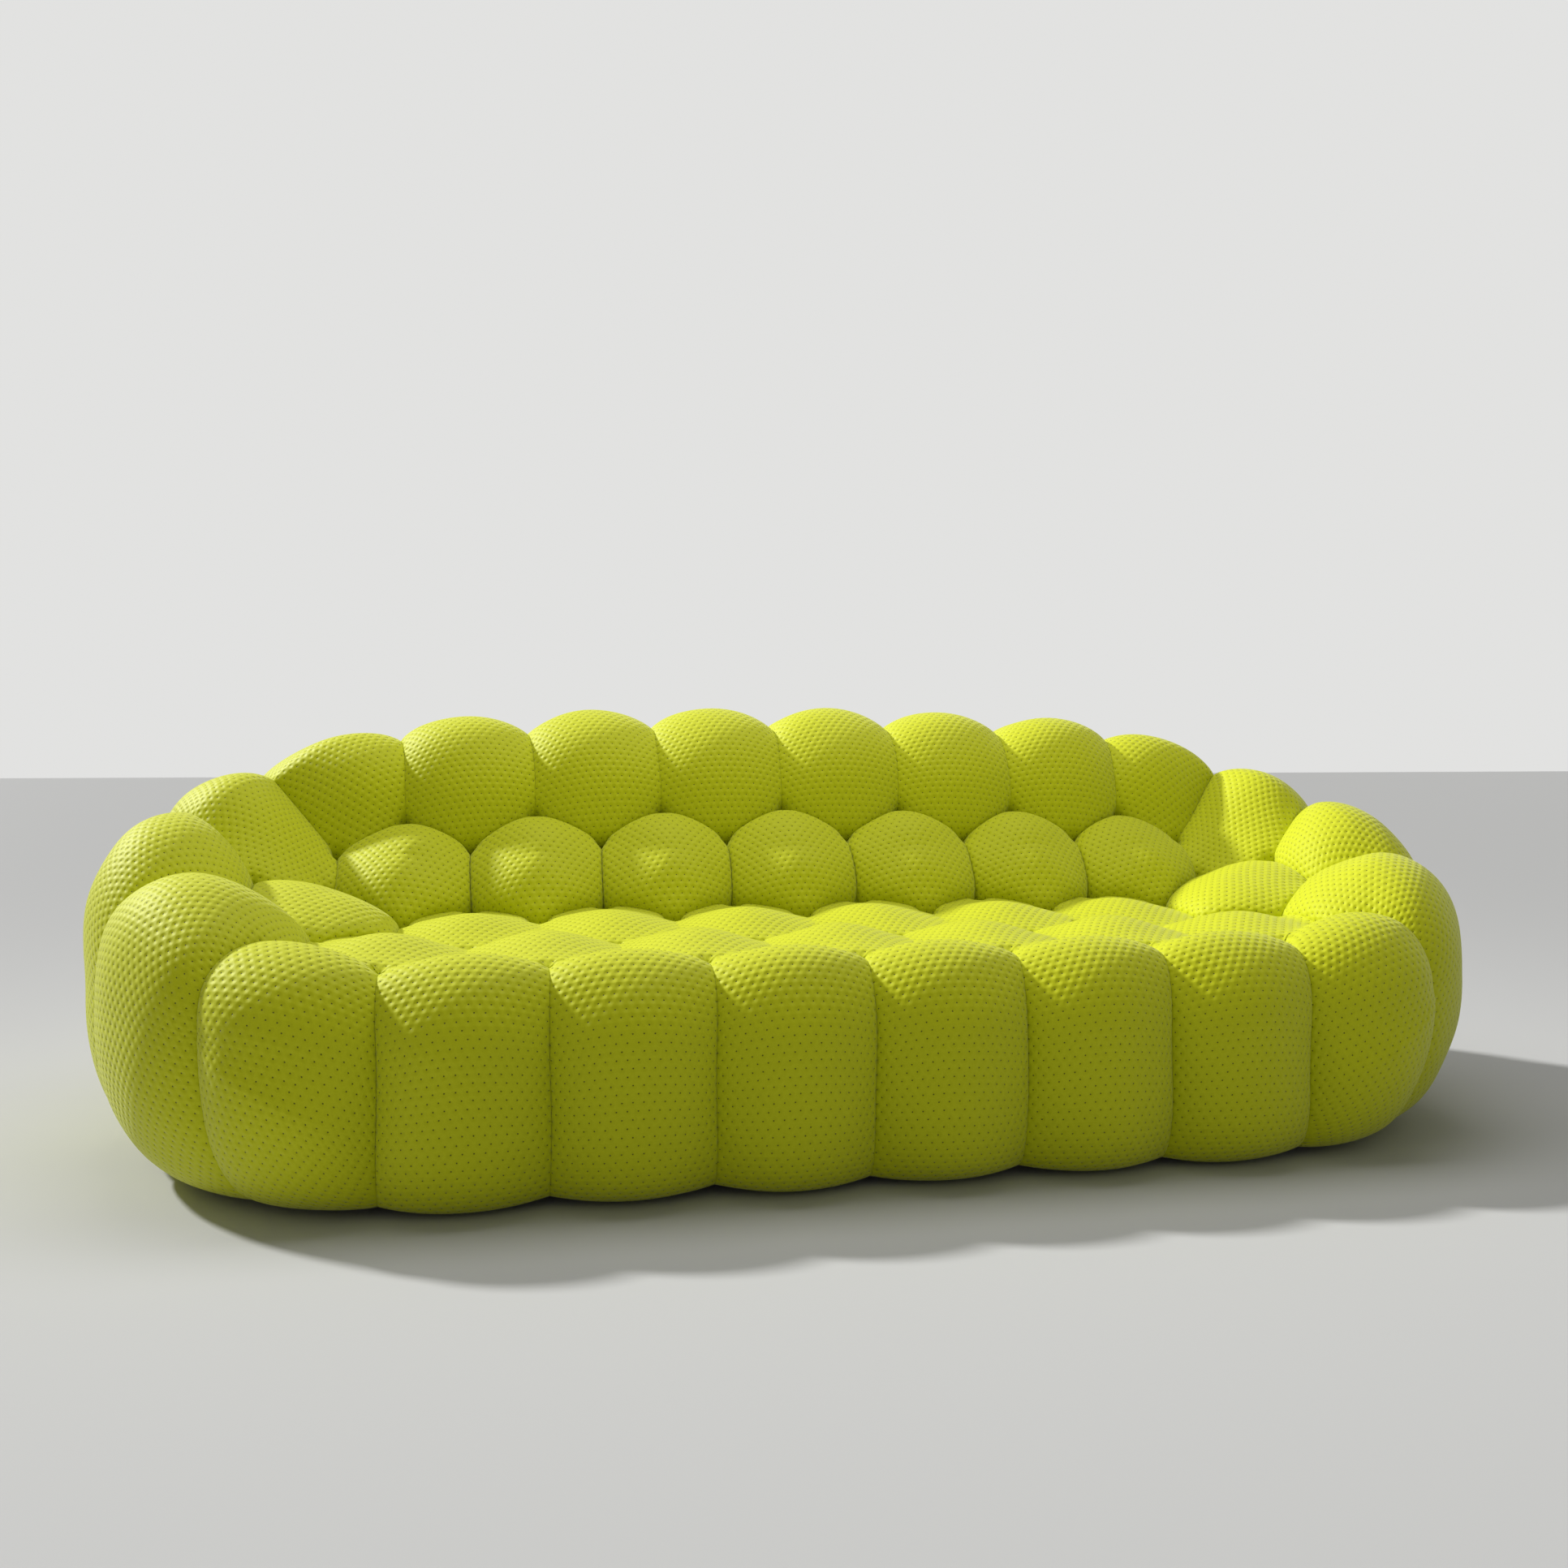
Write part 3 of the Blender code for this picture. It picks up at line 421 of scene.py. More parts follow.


# The cover: one thick stretch knit in lime, matte, with a bloom of fine fibre. It is knitted with
# soft round dimples in staggered rows, each with a pinhole in its middle whose shade is painted dark.
LIME = (0.64, 0.68, 0.008)
LIME_SHADE = (0.50, 0.535, 0.004)
# painted shade: the near-black colour of each pinhole stands in for the shade inside it
LIME_PAINTED_PINHOLE_SHADE = (0.10, 0.11, 0.0)
DIMPLE_PITCH = 0.0169  # along a row
DIMPLE_ROW = 0.0130  # from row to row
DIMPLE_RADIUS = 0.0076
DIMPLE_DEPTH = 0.0014
PINHOLE_EDGE = (0.00048, 0.00168)  # from its middle
PINHOLE_DEPTH = 0.0010
STITCH_SCALE = 900.0
STITCH_DEPTH = 0.00012
STITCH_SHARE = 0.1
STITCH_SPREAD = 0.6
PATCH_SCALE = 5.0
PATCH_SHARE = 0.15
PATCH_SPREAD = 0.4


def knit_cover():
    knit = Finish("lime_knit", Roughness=0.55, Sheen_Weight=0.20, Sheen_Roughness=0.45,
                  Sheen_Tint=(1.0, 1.0, 0.75, 1), Specular_IOR_Level=0.3,
                  Specular_Tint=(1.0, 1.0, 0.45, 1))
    along, down = knit.axes(knit.node("ShaderNodeUVMap", {"uv_map": "cloth"}), "XY")
    distance = from_lattice(along, down, DIMPLE_PITCH, DIMPLE_ROW)
    cup = knit.step(distance, 0.0, DIMPLE_RADIUS)
    rim = knit.step(distance, *PINHOLE_EDGE)
    place = knit.place()
    stitch = knit.noise(place, STITCH_SCALE, detail=1.0)
    patch = knit.noise(place, PATCH_SCALE, detail=2.0)
    worn = knit.blend((patch - 0.5) * PATCH_SPREAD + PATCH_SHARE, LIME, LIME_SHADE)
    speckled = knit.blend((stitch - 0.5) * STITCH_SPREAD + STITCH_SHARE, worn, LIME_SHADE)
    # painted shade: inside the rim of each pinhole the colour is near-black
    knit.feed("Base Color", knit.blend(rim, LIME_PAINTED_PINHOLE_SHADE, speckled))
    knit.relief(cup * DIMPLE_DEPTH + rim * PINHOLE_DEPTH + stitch * STITCH_DEPTH)
    return knit.material


KNIT = knit_cover()


# The net of tufts: the cover is drawn down to the frame at points that lie in eight rows, half a
# pitch apart in turn, so that each bubble of the seat and back has six tufts round it.
PITCH = 0.26
SEAT_HEIGHT = 0.386
RIM_HEIGHT = 0.762
SEAT_DEPTH = 0.512
END_REACH = 0.205  # outermost tufts to the creases of the two ends
RING_FOAM = 0.08  # between a crease of the front or rear face and the frame
FRAME_GAP = 0.0003
FRONT_OVERHANG = 0.03  # of the front face, past where SEAT_DEPTH is measured from
FRONT_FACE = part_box("front_rail")[0].y - RING_FOAM - FRAME_GAP
REAR_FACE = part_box("rear_panel")[1].y + RING_FOAM + FRAME_GAP
END_FACE = 4 * PITCH + END_REACH
SEAT_LINE = FRONT_FACE + FRONT_OVERHANG + SEAT_DEPTH  # depth of the tufts where seat and back meet
HEX_SIDE = PITCH / math.sqrt(3)
FRONT_ROW, MEETING_ROW, RIM_ROW = 0, 4, 7  # seat and back meet at the tufts of the middle one
ARM_COLUMN = 7
EVEN_COLUMNS, ODD_COLUMNS = range(-6, 7, 2), range(-5, 6, 2)
ROW_DEPTH_SHARES = (-3, -2.5, -1.5, -1, 0, 0.487, 1.1, 1.392)  # of HEX_SIDE, behind SEAT_LINE
ROW_RISE_SHARES = (-0.012, -0.028, -0.034, -0.016, 0.0, 0.055, 0.378, 0.533)  # from seat to rim
ROW_BOW_SHARES = (0.0, 0.0, 0.0, 0.0, 0.023, 0.041, 0.055, 0.055)  # back, towards the ends
ROW_DROOP_SHARES = (0.0, 0.0, 0.0, 0.0, 0.004, 0.012, 0.039, 0.042)  # down, towards the ends
END_RISE = 0.087  # of the outermost tufts above the rest of their row
ROW_END_RISE_SHARES = (0.0, 0.08, 0.17, 0.57, 1.0, 0.35, 0.0, 0.0)
ROW_LAST_COLUMN = (6, 7, 7, 8, 8, 7, 7, 6)  # outermost tufts, counted in half pitches
TUFT_DEPTH = 0.013  # how far a tuft is drawn in below the seams that meet there
SEAT_TUFT_DEPTH = 0.004
TUFT_REACH = 0.020
TUFT_PIT_REACH = 0.010  # of the narrow pit in its middle
TUFT_PIT_SHARE = 2.4  # how much deeper the pit goes, in TUFT_DEPTHs
SEAT_LOFT = 0.002  # how far a seam of the seat rises between its two tufts
BACK_LOFT = 0.015


def unit(vectors):
    vectors = np.asarray(vectors, float)
    return vectors / np.linalg.norm(vectors, axis=-1, keepdims=True)


def mix(start, end, share):
    return start + (end - start) * share


def smooth(share):
    share = np.clip(share, 0, 1)
    return share * share * (3 - 2 * share)


def tuft(place):
    """The tuft at this place: half pitches from the middle, and row from the front."""
    column, row = place
    x = column * PITCH / 2
    y = SEAT_LINE + ROW_DEPTH_SHARES[row] * HEX_SIDE + ROW_BOW_SHARES[row] * x * x / END_FACE
    z = SEAT_HEIGHT + ROW_RISE_SHARES[row] * (RIM_HEIGHT - SEAT_HEIGHT)
    z -= ROW_DROOP_SHARES[row] * x * x / END_FACE
    if abs(column) >= ROW_LAST_COLUMN[row]:
        z += END_RISE * ROW_END_RISE_SHARES[row]
    return np.array([x, y, z])


def hexagon(column, row):
    """The six tufts round the bubble whose front tuft is at this place."""
    sides = ((0, 0), (1, 1), (1, 2), (0, 3), (-1, 2), (-1, 1))
    return [(column + across, row + back) for across, back in sides]


SEAT_CELLS = [hexagon(column, FRONT_ROW) for column in EVEN_COLUMNS]
SEAT_CELLS += [hexagon(column, 2) for column in ODD_COLUMNS]
BACK_CELLS = [hexagon(column, MEETING_ROW) for column in EVEN_COLUMNS]
ARM_CELLS = [hexagon(-ARM_COLUMN, 2), hexagon(ARM_COLUMN, 2)]


# The creases of the ring: each is a deep seam that runs from under the sofa up the outer face,
# over the crest and down inside to its tuft, and the cover is sewn in along it.
FOOT_HEIGHT = 0.015  # lower ends of the creases
FRONT_CREST_HEIGHT = 0.371
FRONT_CREST_SET = 0.065  # behind the front face
REAR_FLARE = 0.015  # by which the creases stand wider apart on the rear face than the tufts
RIM_FLARE = 0.0055  # the same on the crest of the back
RIM_SET = 0.35  # crest of the back, in front of the rear face
END_TUFTS = ((7, 1), (8, 3), (8, 4), (7, 6))  # at which the creases of an end come down
END_FACE_X_SHARES = (0.835, 0.992, 1.0, 0.94)  # of END_FACE
END_FACE_Y_SHARES = (0.032, 0.256, 0.56, 0.824)  # from the front face to the rear face
END_CREST_X_SHARES = (0.783, 0.924, 0.932, 0.835)
END_CREST_Y_SHARES = (0.096, 0.288, 0.514, 0.652)
END_CREST_RISE_SHARES = (0.08, 0.245, 0.507, 0.712)  # from seat to rim
END_SLANTS = (0, 0.1, 0.6, 1.0)  # how straight the crease falls from the crest to its tuft
END_TUCK = 0.125
END_BELLY = 0.29
TUCK = 0.05  # how far the outer face turns under at the floor
BELLY = 0.13  # height at which it stands upright
CREST_DROOP_SHARE = 0.061  # by which the crest of the back sinks towards the ends
REAR_BOW_SHARE = 0.024  # by which it curves forward there
ROUND_SHARE = 0.6  # how fully the rounds fill their corners
SEAM_GAP = 0.0001  # each cover's half of the gap to its neighbour
ROW_STEP = 0.006
FEWEST_STEPS = 3
LENGTH_POINTS = 20  # with which a stretch is measured


def arc(start, corner, end, shares):
    """Points of a quarter round that leaves start towards the corner and reaches end from it."""
    first, second = mix(start, corner, ROUND_SHARE), mix(end, corner, ROUND_SHARE)
    t = np.asarray(shares)[:, None]
    s = 1 - t
    return s**3 * start + 3 * s * s * t * first + 3 * s * t * t * second + t**3 * end


class Crease:
    """One seam of the ring, whose line is read with as many points on each stretch as a pad needs."""

    def __init__(self, place, face, crest, inward, tuck, belly, slant=0):
        self.place, self.tuft = place, tuft(place)
        face, self.crest = np.array(face, float), np.array(crest, float)
        across = unit(self.tuft[:2] - face)
        self.aside = np.array([across[1], -across[0], 0]) * SEAM_GAP
        reach = np.linalg.norm(self.crest[:2] - face)
        high = np.array([*face, max(belly + FOOT_HEIGHT, self.crest[2] - reach - TUCK)])
        low = np.array([*face, belly])
        foot = np.array([*(face + np.array(inward) * tuck), FOOT_HEIGHT])
        over_tuft = np.array([*self.tuft[:2], self.crest[2]])
        self.stretches = (
            (foot, np.array([*face, FOOT_HEIGHT]), low),
            (low, mix(low, high, 0.5), high),
            (high, np.array([*face, self.crest[2]]), self.crest),
            (self.crest, mix(over_tuft, (self.crest + self.tuft) / 2, slant), self.tuft),
        )

    def counts(self):
        """Steps of about ROW_STEP on each stretch."""
        sampled = (arc(*ends, np.linspace(0, 1, LENGTH_POINTS)) for ends in self.stretches)
        lengths = [np.linalg.norm(np.diff(points, axis=0), axis=1).sum() for points in sampled]
        return [max(FEWEST_STEPS, math.ceil(length / ROW_STEP)) for length in lengths]

    def line(self, counts):
        """The seam's points, with this many steps on each stretch, the second of which is straight."""
        parts = [arc(*ends, np.arange(1, count + 1) / count)
                 for ends, count in zip(self.stretches, counts)]
        straight = np.arange(1, counts[1] + 1)[:, None] / counts[1]
        parts[1] = mix(self.stretches[1][0], self.stretches[1][2], straight)
        return np.concatenate([self.stretches[0][0][None], *parts])


def front_crease(column):
    x = column * PITCH / 2
    crest = (x, FRONT_FACE + FRONT_CREST_SET, FRONT_CREST_HEIGHT)
    return Crease((column, FRONT_ROW), (x, FRONT_FACE), crest, (0, 1), TUCK, BELLY)


def rear_crease(column):
    x = column * PITCH / 2
    bow = x * x / END_FACE
    crest = (column * (PITCH + RIM_FLARE) / 2, REAR_FACE - RIM_SET - REAR_BOW_SHARE * bow,
             RIM_HEIGHT - CREST_DROOP_SHARE * bow)
    face = (column * (PITCH + REAR_FLARE) / 2, REAR_FACE)
    return Crease((column, RIM_ROW), face, crest, (0, -1), TUCK, BELLY)


def end_creases(side):
    """The four creases that turn one end, front to back; side is 1 on the right and -1 on the left."""
    made = []
    depth = REAR_FACE - FRONT_FACE
    for step, (column, row) in enumerate(END_TUFTS):
        face = (side * END_FACE * END_FACE_X_SHARES[step], FRONT_FACE + depth * END_FACE_Y_SHARES[step])
        crest = (side * END_FACE * END_CREST_X_SHARES[step],
                 FRONT_FACE + depth * END_CREST_Y_SHARES[step],
                 SEAT_HEIGHT + (RIM_HEIGHT - SEAT_HEIGHT) * END_CREST_RISE_SHARES[step])
        place = (side * column, row)
        inward = unit(tuft(place)[:2] - face)
        made.append(Crease(place, face, crest, inward, END_TUCK, END_BELLY, END_SLANTS[step]))
    return made


CREASES = [front_crease(column) for column in EVEN_COLUMNS]
CREASES += end_creases(1)
CREASES += [rear_crease(column) for column in reversed(EVEN_COLUMNS)]
CREASES += reversed(end_creases(-1))


def lower_tuft(first, second):
    """The tuft between two neighbouring creases where two inner bubbles meet, if there is one."""
    (column_a, row_a), (column_b, row_b) = first.place, second.place
    middle = (column_a + column_b) // 2
    end = ARM_COLUMN if column_a > 0 else -ARM_COLUMN
    lower = {(0, 0): (middle, 1), (1, 3): (end, 2), (4, 6): (end, 5), (7, 7): (middle, 6)}
    return lower.get((min(row_a, row_b), max(row_a, row_b)))


def rising(points):
    """The mean normal of a closed outline in space, pointing up."""
    middle = np.array(points) - np.mean(points, axis=0)
    normal = np.cross(middle, np.roll(middle, -1, axis=0)).sum(axis=0)
    return unit(normal if normal[2] > 0 else -normal)


def lean_of_tufts():
    """The direction in which the padding rises beside each tuft: the mean over the bubbles round it."""
    found = {}
    for cell in SEAT_CELLS + BACK_CELLS + ARM_CELLS:
        for place in cell:
            found.setdefault(place, []).append(rising([tuft(corner) for corner in cell]))
    for first, second in zip(CREASES, CREASES[1:] + CREASES[:1]):
        between = lower_tuft(first, second)
        places = [first.place] + ([between] if between else []) + [second.place]
        normal = rising([tuft(place) for place in places] + [second.crest, first.crest])
        for place in places:
            found.setdefault(place, []).append(normal)
    return {place: unit(np.mean(normals, axis=0)) for place, normals in found.items()}


LEAN = lean_of_tufts()
TUFTS = np.array([tuft(place) for place in LEAN])
TUFT_LEANS = np.array(list(LEAN.values()))
TUFT_DEPTHS = [SEAT_TUFT_DEPTH if row < MEETING_ROW else TUFT_DEPTH for column, row in LEAN]
SWELL = 0.0012  # slow unevenness of hand-laid padding
SWELL_TURNS = np.array([[31.0, 17.0, 23.0], [-19.0, 37.0, 13.0], [11.0, -29.0, 41.0]])


def loft(first, second):
    """How far the seam between these two tufts rises."""
    lofts = [SEAT_LOFT if row <= MEETING_ROW and abs(column) < ARM_COLUMN else BACK_LOFT
             for column, row in (first, second)]
    return sum(lofts) / 2


def arch(share):
    return 4 * share * (1 - share)


def drawn_in(points):
    """Points of the cover pulled down at the tufts, and as uneven as padding is."""
    flat = points.reshape(-1, 3)
    moved = flat + SWELL * np.sin(flat @ SWELL_TURNS.T)
    for place, lean, depth in zip(TUFTS, TUFT_LEANS, TUFT_DEPTHS):
        apart = np.linalg.norm(flat - place, axis=1)
        draw, pit = (np.exp(-((apart / reach) ** 2)) for reach in (TUFT_REACH, TUFT_PIT_REACH))
        pull = depth * (draw + TUFT_PIT_SHARE * pit)
        moved -= lean * pull[:, None]
    return moved.reshape(points.shape)


# The ring: twenty-two rolls of foam under the knit, each from beneath the sofa over the crest to
# the tufts. Each roll is crowned across, drawn in along both creases and closed inside.
ACROSS = 48  # faces across a roll
BLUNT = 0.82  # power of the crown across a roll: blunt near 0, a parabola at 1
SEAM_ALLOWANCE = 0.022  # how far the cover is turned in along a seam
HEM_HEIGHT = 0.006  # undersides of the covers above the floor
LEANING_FROM = 0.45  # part of the inner side, past which a crease's direction turns to its tuft's
EASING_ROUNDS = 300
EASING_SLOWNESS = 10  # by which each round's moves are kept small
SAME_POINT = 1e-6  # points closer than this are one
SMOOTH_ANGLE = math.radians(60)


def pillow(share, power):
    """Height of a padded crown: 0 at the seam, where share is 1 either way, and 1 in the middle."""
    return np.maximum(0, 1 - np.asarray(share) ** 2) ** power


def cloth_measure(points, middle_row, middle_column):
    """How far the cloth runs from the middle row and column to each point."""
    along = np.linalg.norm(np.diff(points, axis=1), axis=2)
    along = np.concatenate([np.zeros((len(points), 1)), np.cumsum(along, axis=1)], axis=1)
    along -= along[:, middle_column, None]
    down = np.linalg.norm(np.diff(points, axis=0), axis=2)
    down = np.concatenate([np.zeros((1, points.shape[1])), np.cumsum(down, axis=0)])
    down -= down[middle_row]
    down = (down + down[:, middle_column, None]) / 2
    return np.stack([along, down], axis=2)


def eased(points, cloth):
    """The cloth laid flat with each short run of it, along, down and aslant, near its true length."""
    whole, front, rear = slice(None), slice(None, -1), slice(1, None)
    spans = (((whole, front), (whole, rear)), ((front, whole), (rear, whole)),
             ((front, front), (rear, rear)), ((front, rear), (rear, front)))
    true = [np.linalg.norm(points[end] - points[start], axis=2) for start, end in spans]
    for _ in range(EASING_ROUNDS):
        moved = np.zeros_like(cloth)
        for (start, end), length in zip(spans, true):
            apart = cloth[end] - cloth[start]
            slack = 1 - length / np.maximum(np.linalg.norm(apart, axis=2), SAME_POINT)
            moved[start] += apart * slack[..., None]
            moved[end] -= apart * slack[..., None]
        cloth = cloth + moved / EASING_SLOWNESS
    return cloth


def sewn(name, points, cloth):
    """A closed pad from a grid of points whose last column meets the first and whose end rows close."""
    rows, columns = points.shape[:2]
    bpy.ops.object.select_all(action="DESELECT")
    bpy.ops.mesh.primitive_grid_add(x_subdivisions=columns - 1, y_subdivisions=rows - 1)
    pad = bpy.context.object
    pad.name = pad.data.name = name
    pad.data.vertices.foreach_set("co", points.reshape(-1))
    corners = np.empty(len(pad.data.loops), np.int32)
    pad.data.loops.foreach_get("vertex_index", corners)
    pad.data.uv_layers[0].name = "cloth"
    pad.data.uv_layers[0].data.foreach_set("uv", cloth.reshape(-1, 2)[corners].reshape(-1))
    bpy.ops.object.mode_set(mode="EDIT")
    bpy.ops.mesh.select_all(action="SELECT")
    bpy.ops.mesh.remove_doubles(threshold=SAME_POINT)
    bpy.ops.mesh.normals_make_consistent(inside=False)
    bpy.ops.object.mode_set(mode="OBJECT")
    bpy.ops.object.shade_smooth_by_angle(angle=SMOOTH_ANGLE)
    pad.data.materials.append(KNIT)
    return pad


def finished(pad, fill, *nodes):
    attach(pad, "root")
    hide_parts(*nodes)


def closed_roll(outer, outward):
    """The grid of a roll from its outer surface: seams turned in, back closed, both ends closed."""
    turned_in = outer - outward * SEAM_ALLOWANCE
    start, end = turned_in[:1], turned_in[-1:]
    body = np.concatenate([start, outer, end])
    inner = np.concatenate([start, turned_in, end])
    grid = np.concatenate([body, inner[:, -1:], inner[:, :1], body[:, :1]], axis=1)
    first = np.repeat(grid[:1].mean(axis=1, keepdims=True), grid.shape[1], axis=1)
    last = np.repeat(grid[-1:].mean(axis=1, keepdims=True), grid.shape[1], axis=1)
    return np.concatenate([first, grid, last])


def above_hem(points):
    """The same points, none of them lower than the hem."""
    return np.maximum(points, (-math.inf, -math.inf, HEM_HEIGHT))


def ring_pad(name, number, face_swell_share, crest_swell_share, inner_swell_share):
    """The roll between this crease and the next, going round the ring."""
    first, second = CREASES[number], CREASES[(number + 1) % len(CREASES)]
    before, after = CREASES[number - 1], CREASES[(number + 2) % len(CREASES)]
    between = lower_tuft(first, second)
    counts = [max(pair) for pair in zip(first.counts(), second.counts())]
    shoulder_row, crest_row = sum(counts[:2]), sum(counts[:3])
    lines = [crease.line(counts) for crease in (before, first, second, after)]

    # How far along the roll each row lies, from its foot to the tufts.
    steps = np.linalg.norm(np.diff((lines[1] + lines[2]) / 2, axis=0), axis=1)
    travelled = np.concatenate([[0], np.cumsum(steps)])
    at_foot = np.maximum(0, 1 - travelled / travelled[counts[0]])
    past_crest = np.maximum(0, (travelled - travelled[crest_row]) / (travelled[-1] - travelled[crest_row]))
    to_crest = (travelled - travelled[shoulder_row]) / (travelled[crest_row] - travelled[shoulder_row])
    inside, late = past_crest[:, None, None], past_crest[:, None, None] ** 4

    # The flat between the two creases, and the direction in which it swells.
    outward = []
    for crease, left, line, right in ((first, *lines[:3]), (second, *lines[1:])):
        normal = unit(np.cross(unit(right - left), unit(np.gradient(line, axis=0))))
        near_end = smooth((past_crest - LEANING_FROM) / (1 - LEANING_FROM))[:, None]
        outward.append(unit(mix(normal, LEAN[crease.place], near_end)))
    shares = (1 - np.cos(np.pi * np.arange(ACROSS + 1) / ACROSS)) / 2
    low, high = lines[1] + first.aside, lines[2] - second.aside
    s = shares[None, :, None]
    place = mix(low[:, None], high[:, None], s)
    direction = unit(mix(outward[0][:, None], outward[1][:, None], s))

    # Where two inner bubbles meet between the creases, the end is drawn down to their tuft too.
    if between:
        to_tip = mix(np.sin(np.pi * s), 2 * np.minimum(s, 1 - s), late)
        near_first = s < 0.5
        corner = np.where(near_first, first.tuft, second.tuft)
        sharp_drop = mix(corner, tuft(between), to_tip) - mix(first.tuft, second.tuft, s)
        smooth_drop = to_tip * (tuft(between) - (first.tuft + second.tuft) / 2)
        place = place + inside**2 * mix(smooth_drop, sharp_drop, late)
        corner_lean = np.where(near_first, LEAN[first.place], LEAN[second.place])
        end_lean = unit(mix(corner_lean, LEAN[between], to_tip))
        direction = unit(mix(direction, end_lean, inside**3))
    end_arch = loft(first.place, between or second.place) * arch(to_tip if between else s)
    place = place + direction * end_arch * late

    # The crown across it, level with the creases at the foot and at the tufts.
    width = np.linalg.norm(high - low, axis=1)[:, None]
    swell = mix(face_swell_share, crest_swell_share, smooth(to_crest))
    swell = mix(swell, inner_swell_share, smooth(past_crest))[:, None]
    height = swell * width * pillow(2 * shares - 1, BLUNT)[None]
    height = height * (pillow(at_foot, BLUNT) * pillow(past_crest, BLUNT))[:, None]
    outer = above_hem(drawn_in(above_hem(place + direction * height[..., None])))
    grid = closed_roll(outer, direction)
    cloth = cloth_measure(grid, crest_row + 2, ACROSS // 2)
    cloth[2:-2, :ACROSS + 1] = eased(outer, cloth[2:-2, :ACROSS + 1])
    return sewn(name, grid, cloth)


RING_FILL = 0.85  # how tightly the rolls are filled
RING = (  # name, creases in order, and the swell of the face, crest and inner side by the roll's width
    ("front_pad", (21, 0, 1, 2, 3, 4, 5, 6), 0.22, 0.11, 0.08),
    ("right_arm_pad", (7, 8, 9), 0.18, 0.22, 0.18),
    ("back_rim_pad", (17, 16, 15, 14, 13, 12, 11, 10), 0.20, 0.18, 0.18),
    ("left_arm_pad", (20, 19, 18), 0.18, 0.22, 0.18),
)
TAUT_INSIDE = {9: 0.10, 18: 0.10}  # less swell inside, for the rolls where the arms meet the back
for label, numbers, face, crest, inner in RING:
    for order, number in enumerate(numbers, 1):
        pad = ring_pad(f"{label}_{order}_cover", number, face, crest, TAUT_INSIDE.get(number, inner))
        finished(pad, RING_FILL, f"{label}_{order}")


# The bubbles inside the ring: seven lean back as the backrest and one lies inside each arm. Each
# is a ball of foam drawn into the six tufts round it, blunt on top, with tight seams.
AROUND_SIDE = 20  # points along each of the six sides
RINGS = 36  # of points, from the middle to the seam
BACK_CROWN = 0.060
ARM_CROWN = 0.048
ROUND = 0.58  # power of their crown, as BLUNT is of the rolls'
BUBBLE_FILL = 0.8


def round_crown(share):
    return pillow(share, ROUND)


def smoothed(values, turn):
    """The same values round a bubble without the corners: their mean, tilt and oval only."""
    waves = [np.ones_like(turn)] + [wave(times * turn) for times in (1, 2) for wave in (np.cos, np.sin)]
    waves = np.stack(waves)
    return np.linalg.lstsq(waves.T, values, rcond=None)[0] @ waves


def bubble(cell, crown, profile, gap):
    """A bubble's rings of points from its middle out to its seam, the way each leans, and its cloth."""
    tufts, leans = [tuft(place) for place in cell], [LEAN[place] for place in cell]
    middle, rise = np.mean(tufts, axis=0), unit(np.mean(leans, axis=0))
    level = unit(np.cross((0, 1, 0), rise))
    upward = np.cross(rise, level)
    shares = np.arange(AROUND_SIDE)[:, None] / AROUND_SIDE
    sides = [(i, (i + 1) % 6) for i in range(6)]
    edge = np.concatenate([mix(tufts[i], tufts[j], shares) for i, j in sides])
    lean = unit(np.concatenate([mix(leans[i], leans[j], shares) for i, j in sides]))
    lift = np.concatenate([loft(cell[i], cell[j]) * arch(shares) for i, j in sides])
    edge, lean, lift = (np.concatenate([part, part[:1]]) for part in (edge, lean, lift))
    spokes = edge - middle
    spokes = spokes * (1 - gap / np.linalg.norm(spokes, axis=1, keepdims=True))
    across, up = spokes @ level, spokes @ upward
    turn = np.arctan2(up, across)
    radius, height = smoothed(np.hypot(across, up), turn), smoothed(spokes @ rise, turn)
    outward = np.cos(turn)[:, None] * level + np.sin(turn)[:, None] * upward
    rounded = radius[:, None] * outward + height[:, None] * rise
    s = np.sin(np.pi / 2 * np.arange(RINGS + 1) / RINGS)[:, None, None]
    leaning = unit(mix(rise, lean[None], s**2))
    at_seam = s**6
    surface = middle + s * mix(rounded[None], spokes[None], at_seam)
    surface = drawn_in(surface + leaning * (crown * profile(s) + lift * at_seam))
    run = np.linalg.norm(np.diff(surface, axis=0), axis=2)
    run = np.concatenate([np.zeros((1, len(turn))), np.cumsum(run, axis=0)])
    return surface, leaning, np.stack([run * np.cos(turn), run * np.sin(turn)], axis=2)


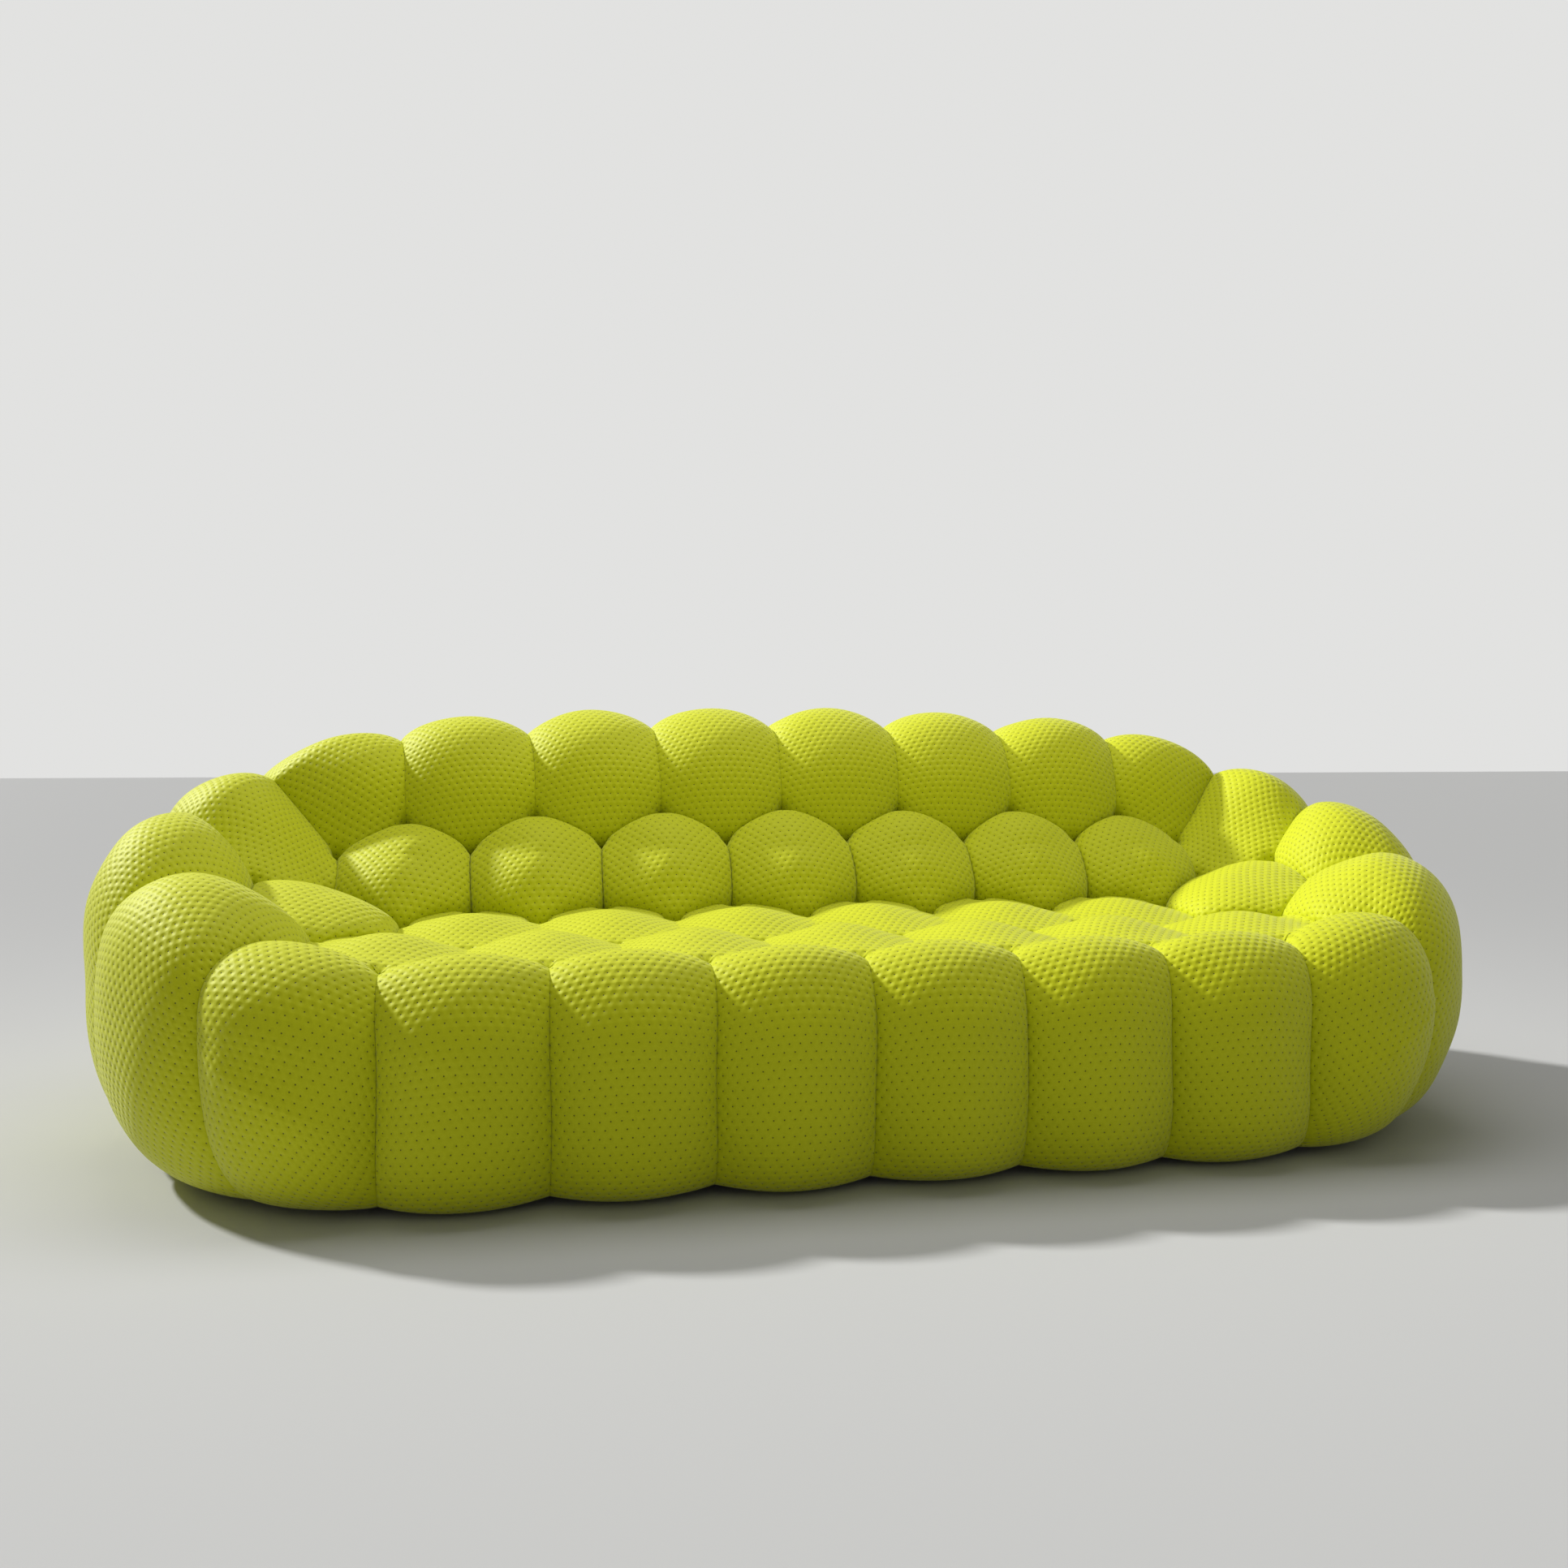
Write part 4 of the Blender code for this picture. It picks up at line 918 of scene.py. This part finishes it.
def inner_pad(name, cell, crown):
    surface, leaning, cloth = bubble(cell, crown, round_crown, SEAM_GAP)
    turned_in = surface[-1:] - leaning[-1:] * SEAM_ALLOWANCE
    under = np.repeat(turned_in.mean(axis=1, keepdims=True), surface.shape[1], axis=1)
    grid = np.concatenate([surface, turned_in, under])
    return sewn(name, grid, np.concatenate([cloth, cloth[-1:], cloth[-1:]]))


for order, cell in enumerate(BACK_CELLS, 1):
    pad = inner_pad(f"backrest_pad_{order}_cover", cell, BACK_CROWN)
    finished(pad, BUBBLE_FILL, f"backrest_pad_{order}")
for side, cell in zip(("left", "right"), ARM_CELLS):
    pad = inner_pad(f"{side}_arm_inner_pad_cover", cell, ARM_CROWN)
    finished(pad, BUBBLE_FILL, f"{side}_arm_inner_pad")


# The seat: one cushion of foam under the knit, with thirteen low crowns between its tufts and soft
# valleys where no seam parts them.
SEAT_CROWNS = {0: 0.031, 2: 0.026}  # by the row of the crown's front tuft
SEAT_FILL = 0.7
PATCH_EDGE = 1e-5  # within which the patches' edges are one


def soft_crown(share):
    """A low crown that runs out level into the valley round it."""
    return (pillow(share, 1) + np.cos(share * np.pi / 2) ** 2) / 2


patches = []
for cell in SEAT_CELLS:
    surface, leaning, cloth = bubble(cell, SEAT_CROWNS[cell[0][1]], soft_crown, 0.0)
    patches.append(sewn("seat_patch", surface, cloth))
bpy.ops.object.select_all(action="DESELECT")
for patch in patches:
    patch.select_set(True)
bpy.context.view_layer.objects.active = patches[0]
bpy.ops.object.join()
seat = bpy.context.object
seat.name = seat.data.name = "seat_cushion_cover"
bpy.ops.object.mode_set(mode="EDIT")
bpy.ops.mesh.select_mode(type="VERT")
bpy.ops.mesh.select_all(action="SELECT")
bpy.ops.mesh.remove_doubles(threshold=PATCH_EDGE)
bpy.ops.mesh.select_all(action="DESELECT")
bpy.ops.mesh.select_non_manifold()
bpy.ops.mesh.extrude_region_move(TRANSFORM_OT_translate={"value": (0, 0, -SEAM_ALLOWANCE)})
bpy.ops.mesh.edge_face_add()
bpy.ops.mesh.select_all(action="SELECT")
bpy.ops.mesh.normals_make_consistent(inside=False)
bpy.ops.object.mode_set(mode="OBJECT")
bpy.ops.object.shade_smooth_by_angle(angle=SMOOTH_ANGLE)
finished(seat, SEAT_FILL, "seat_cushion")
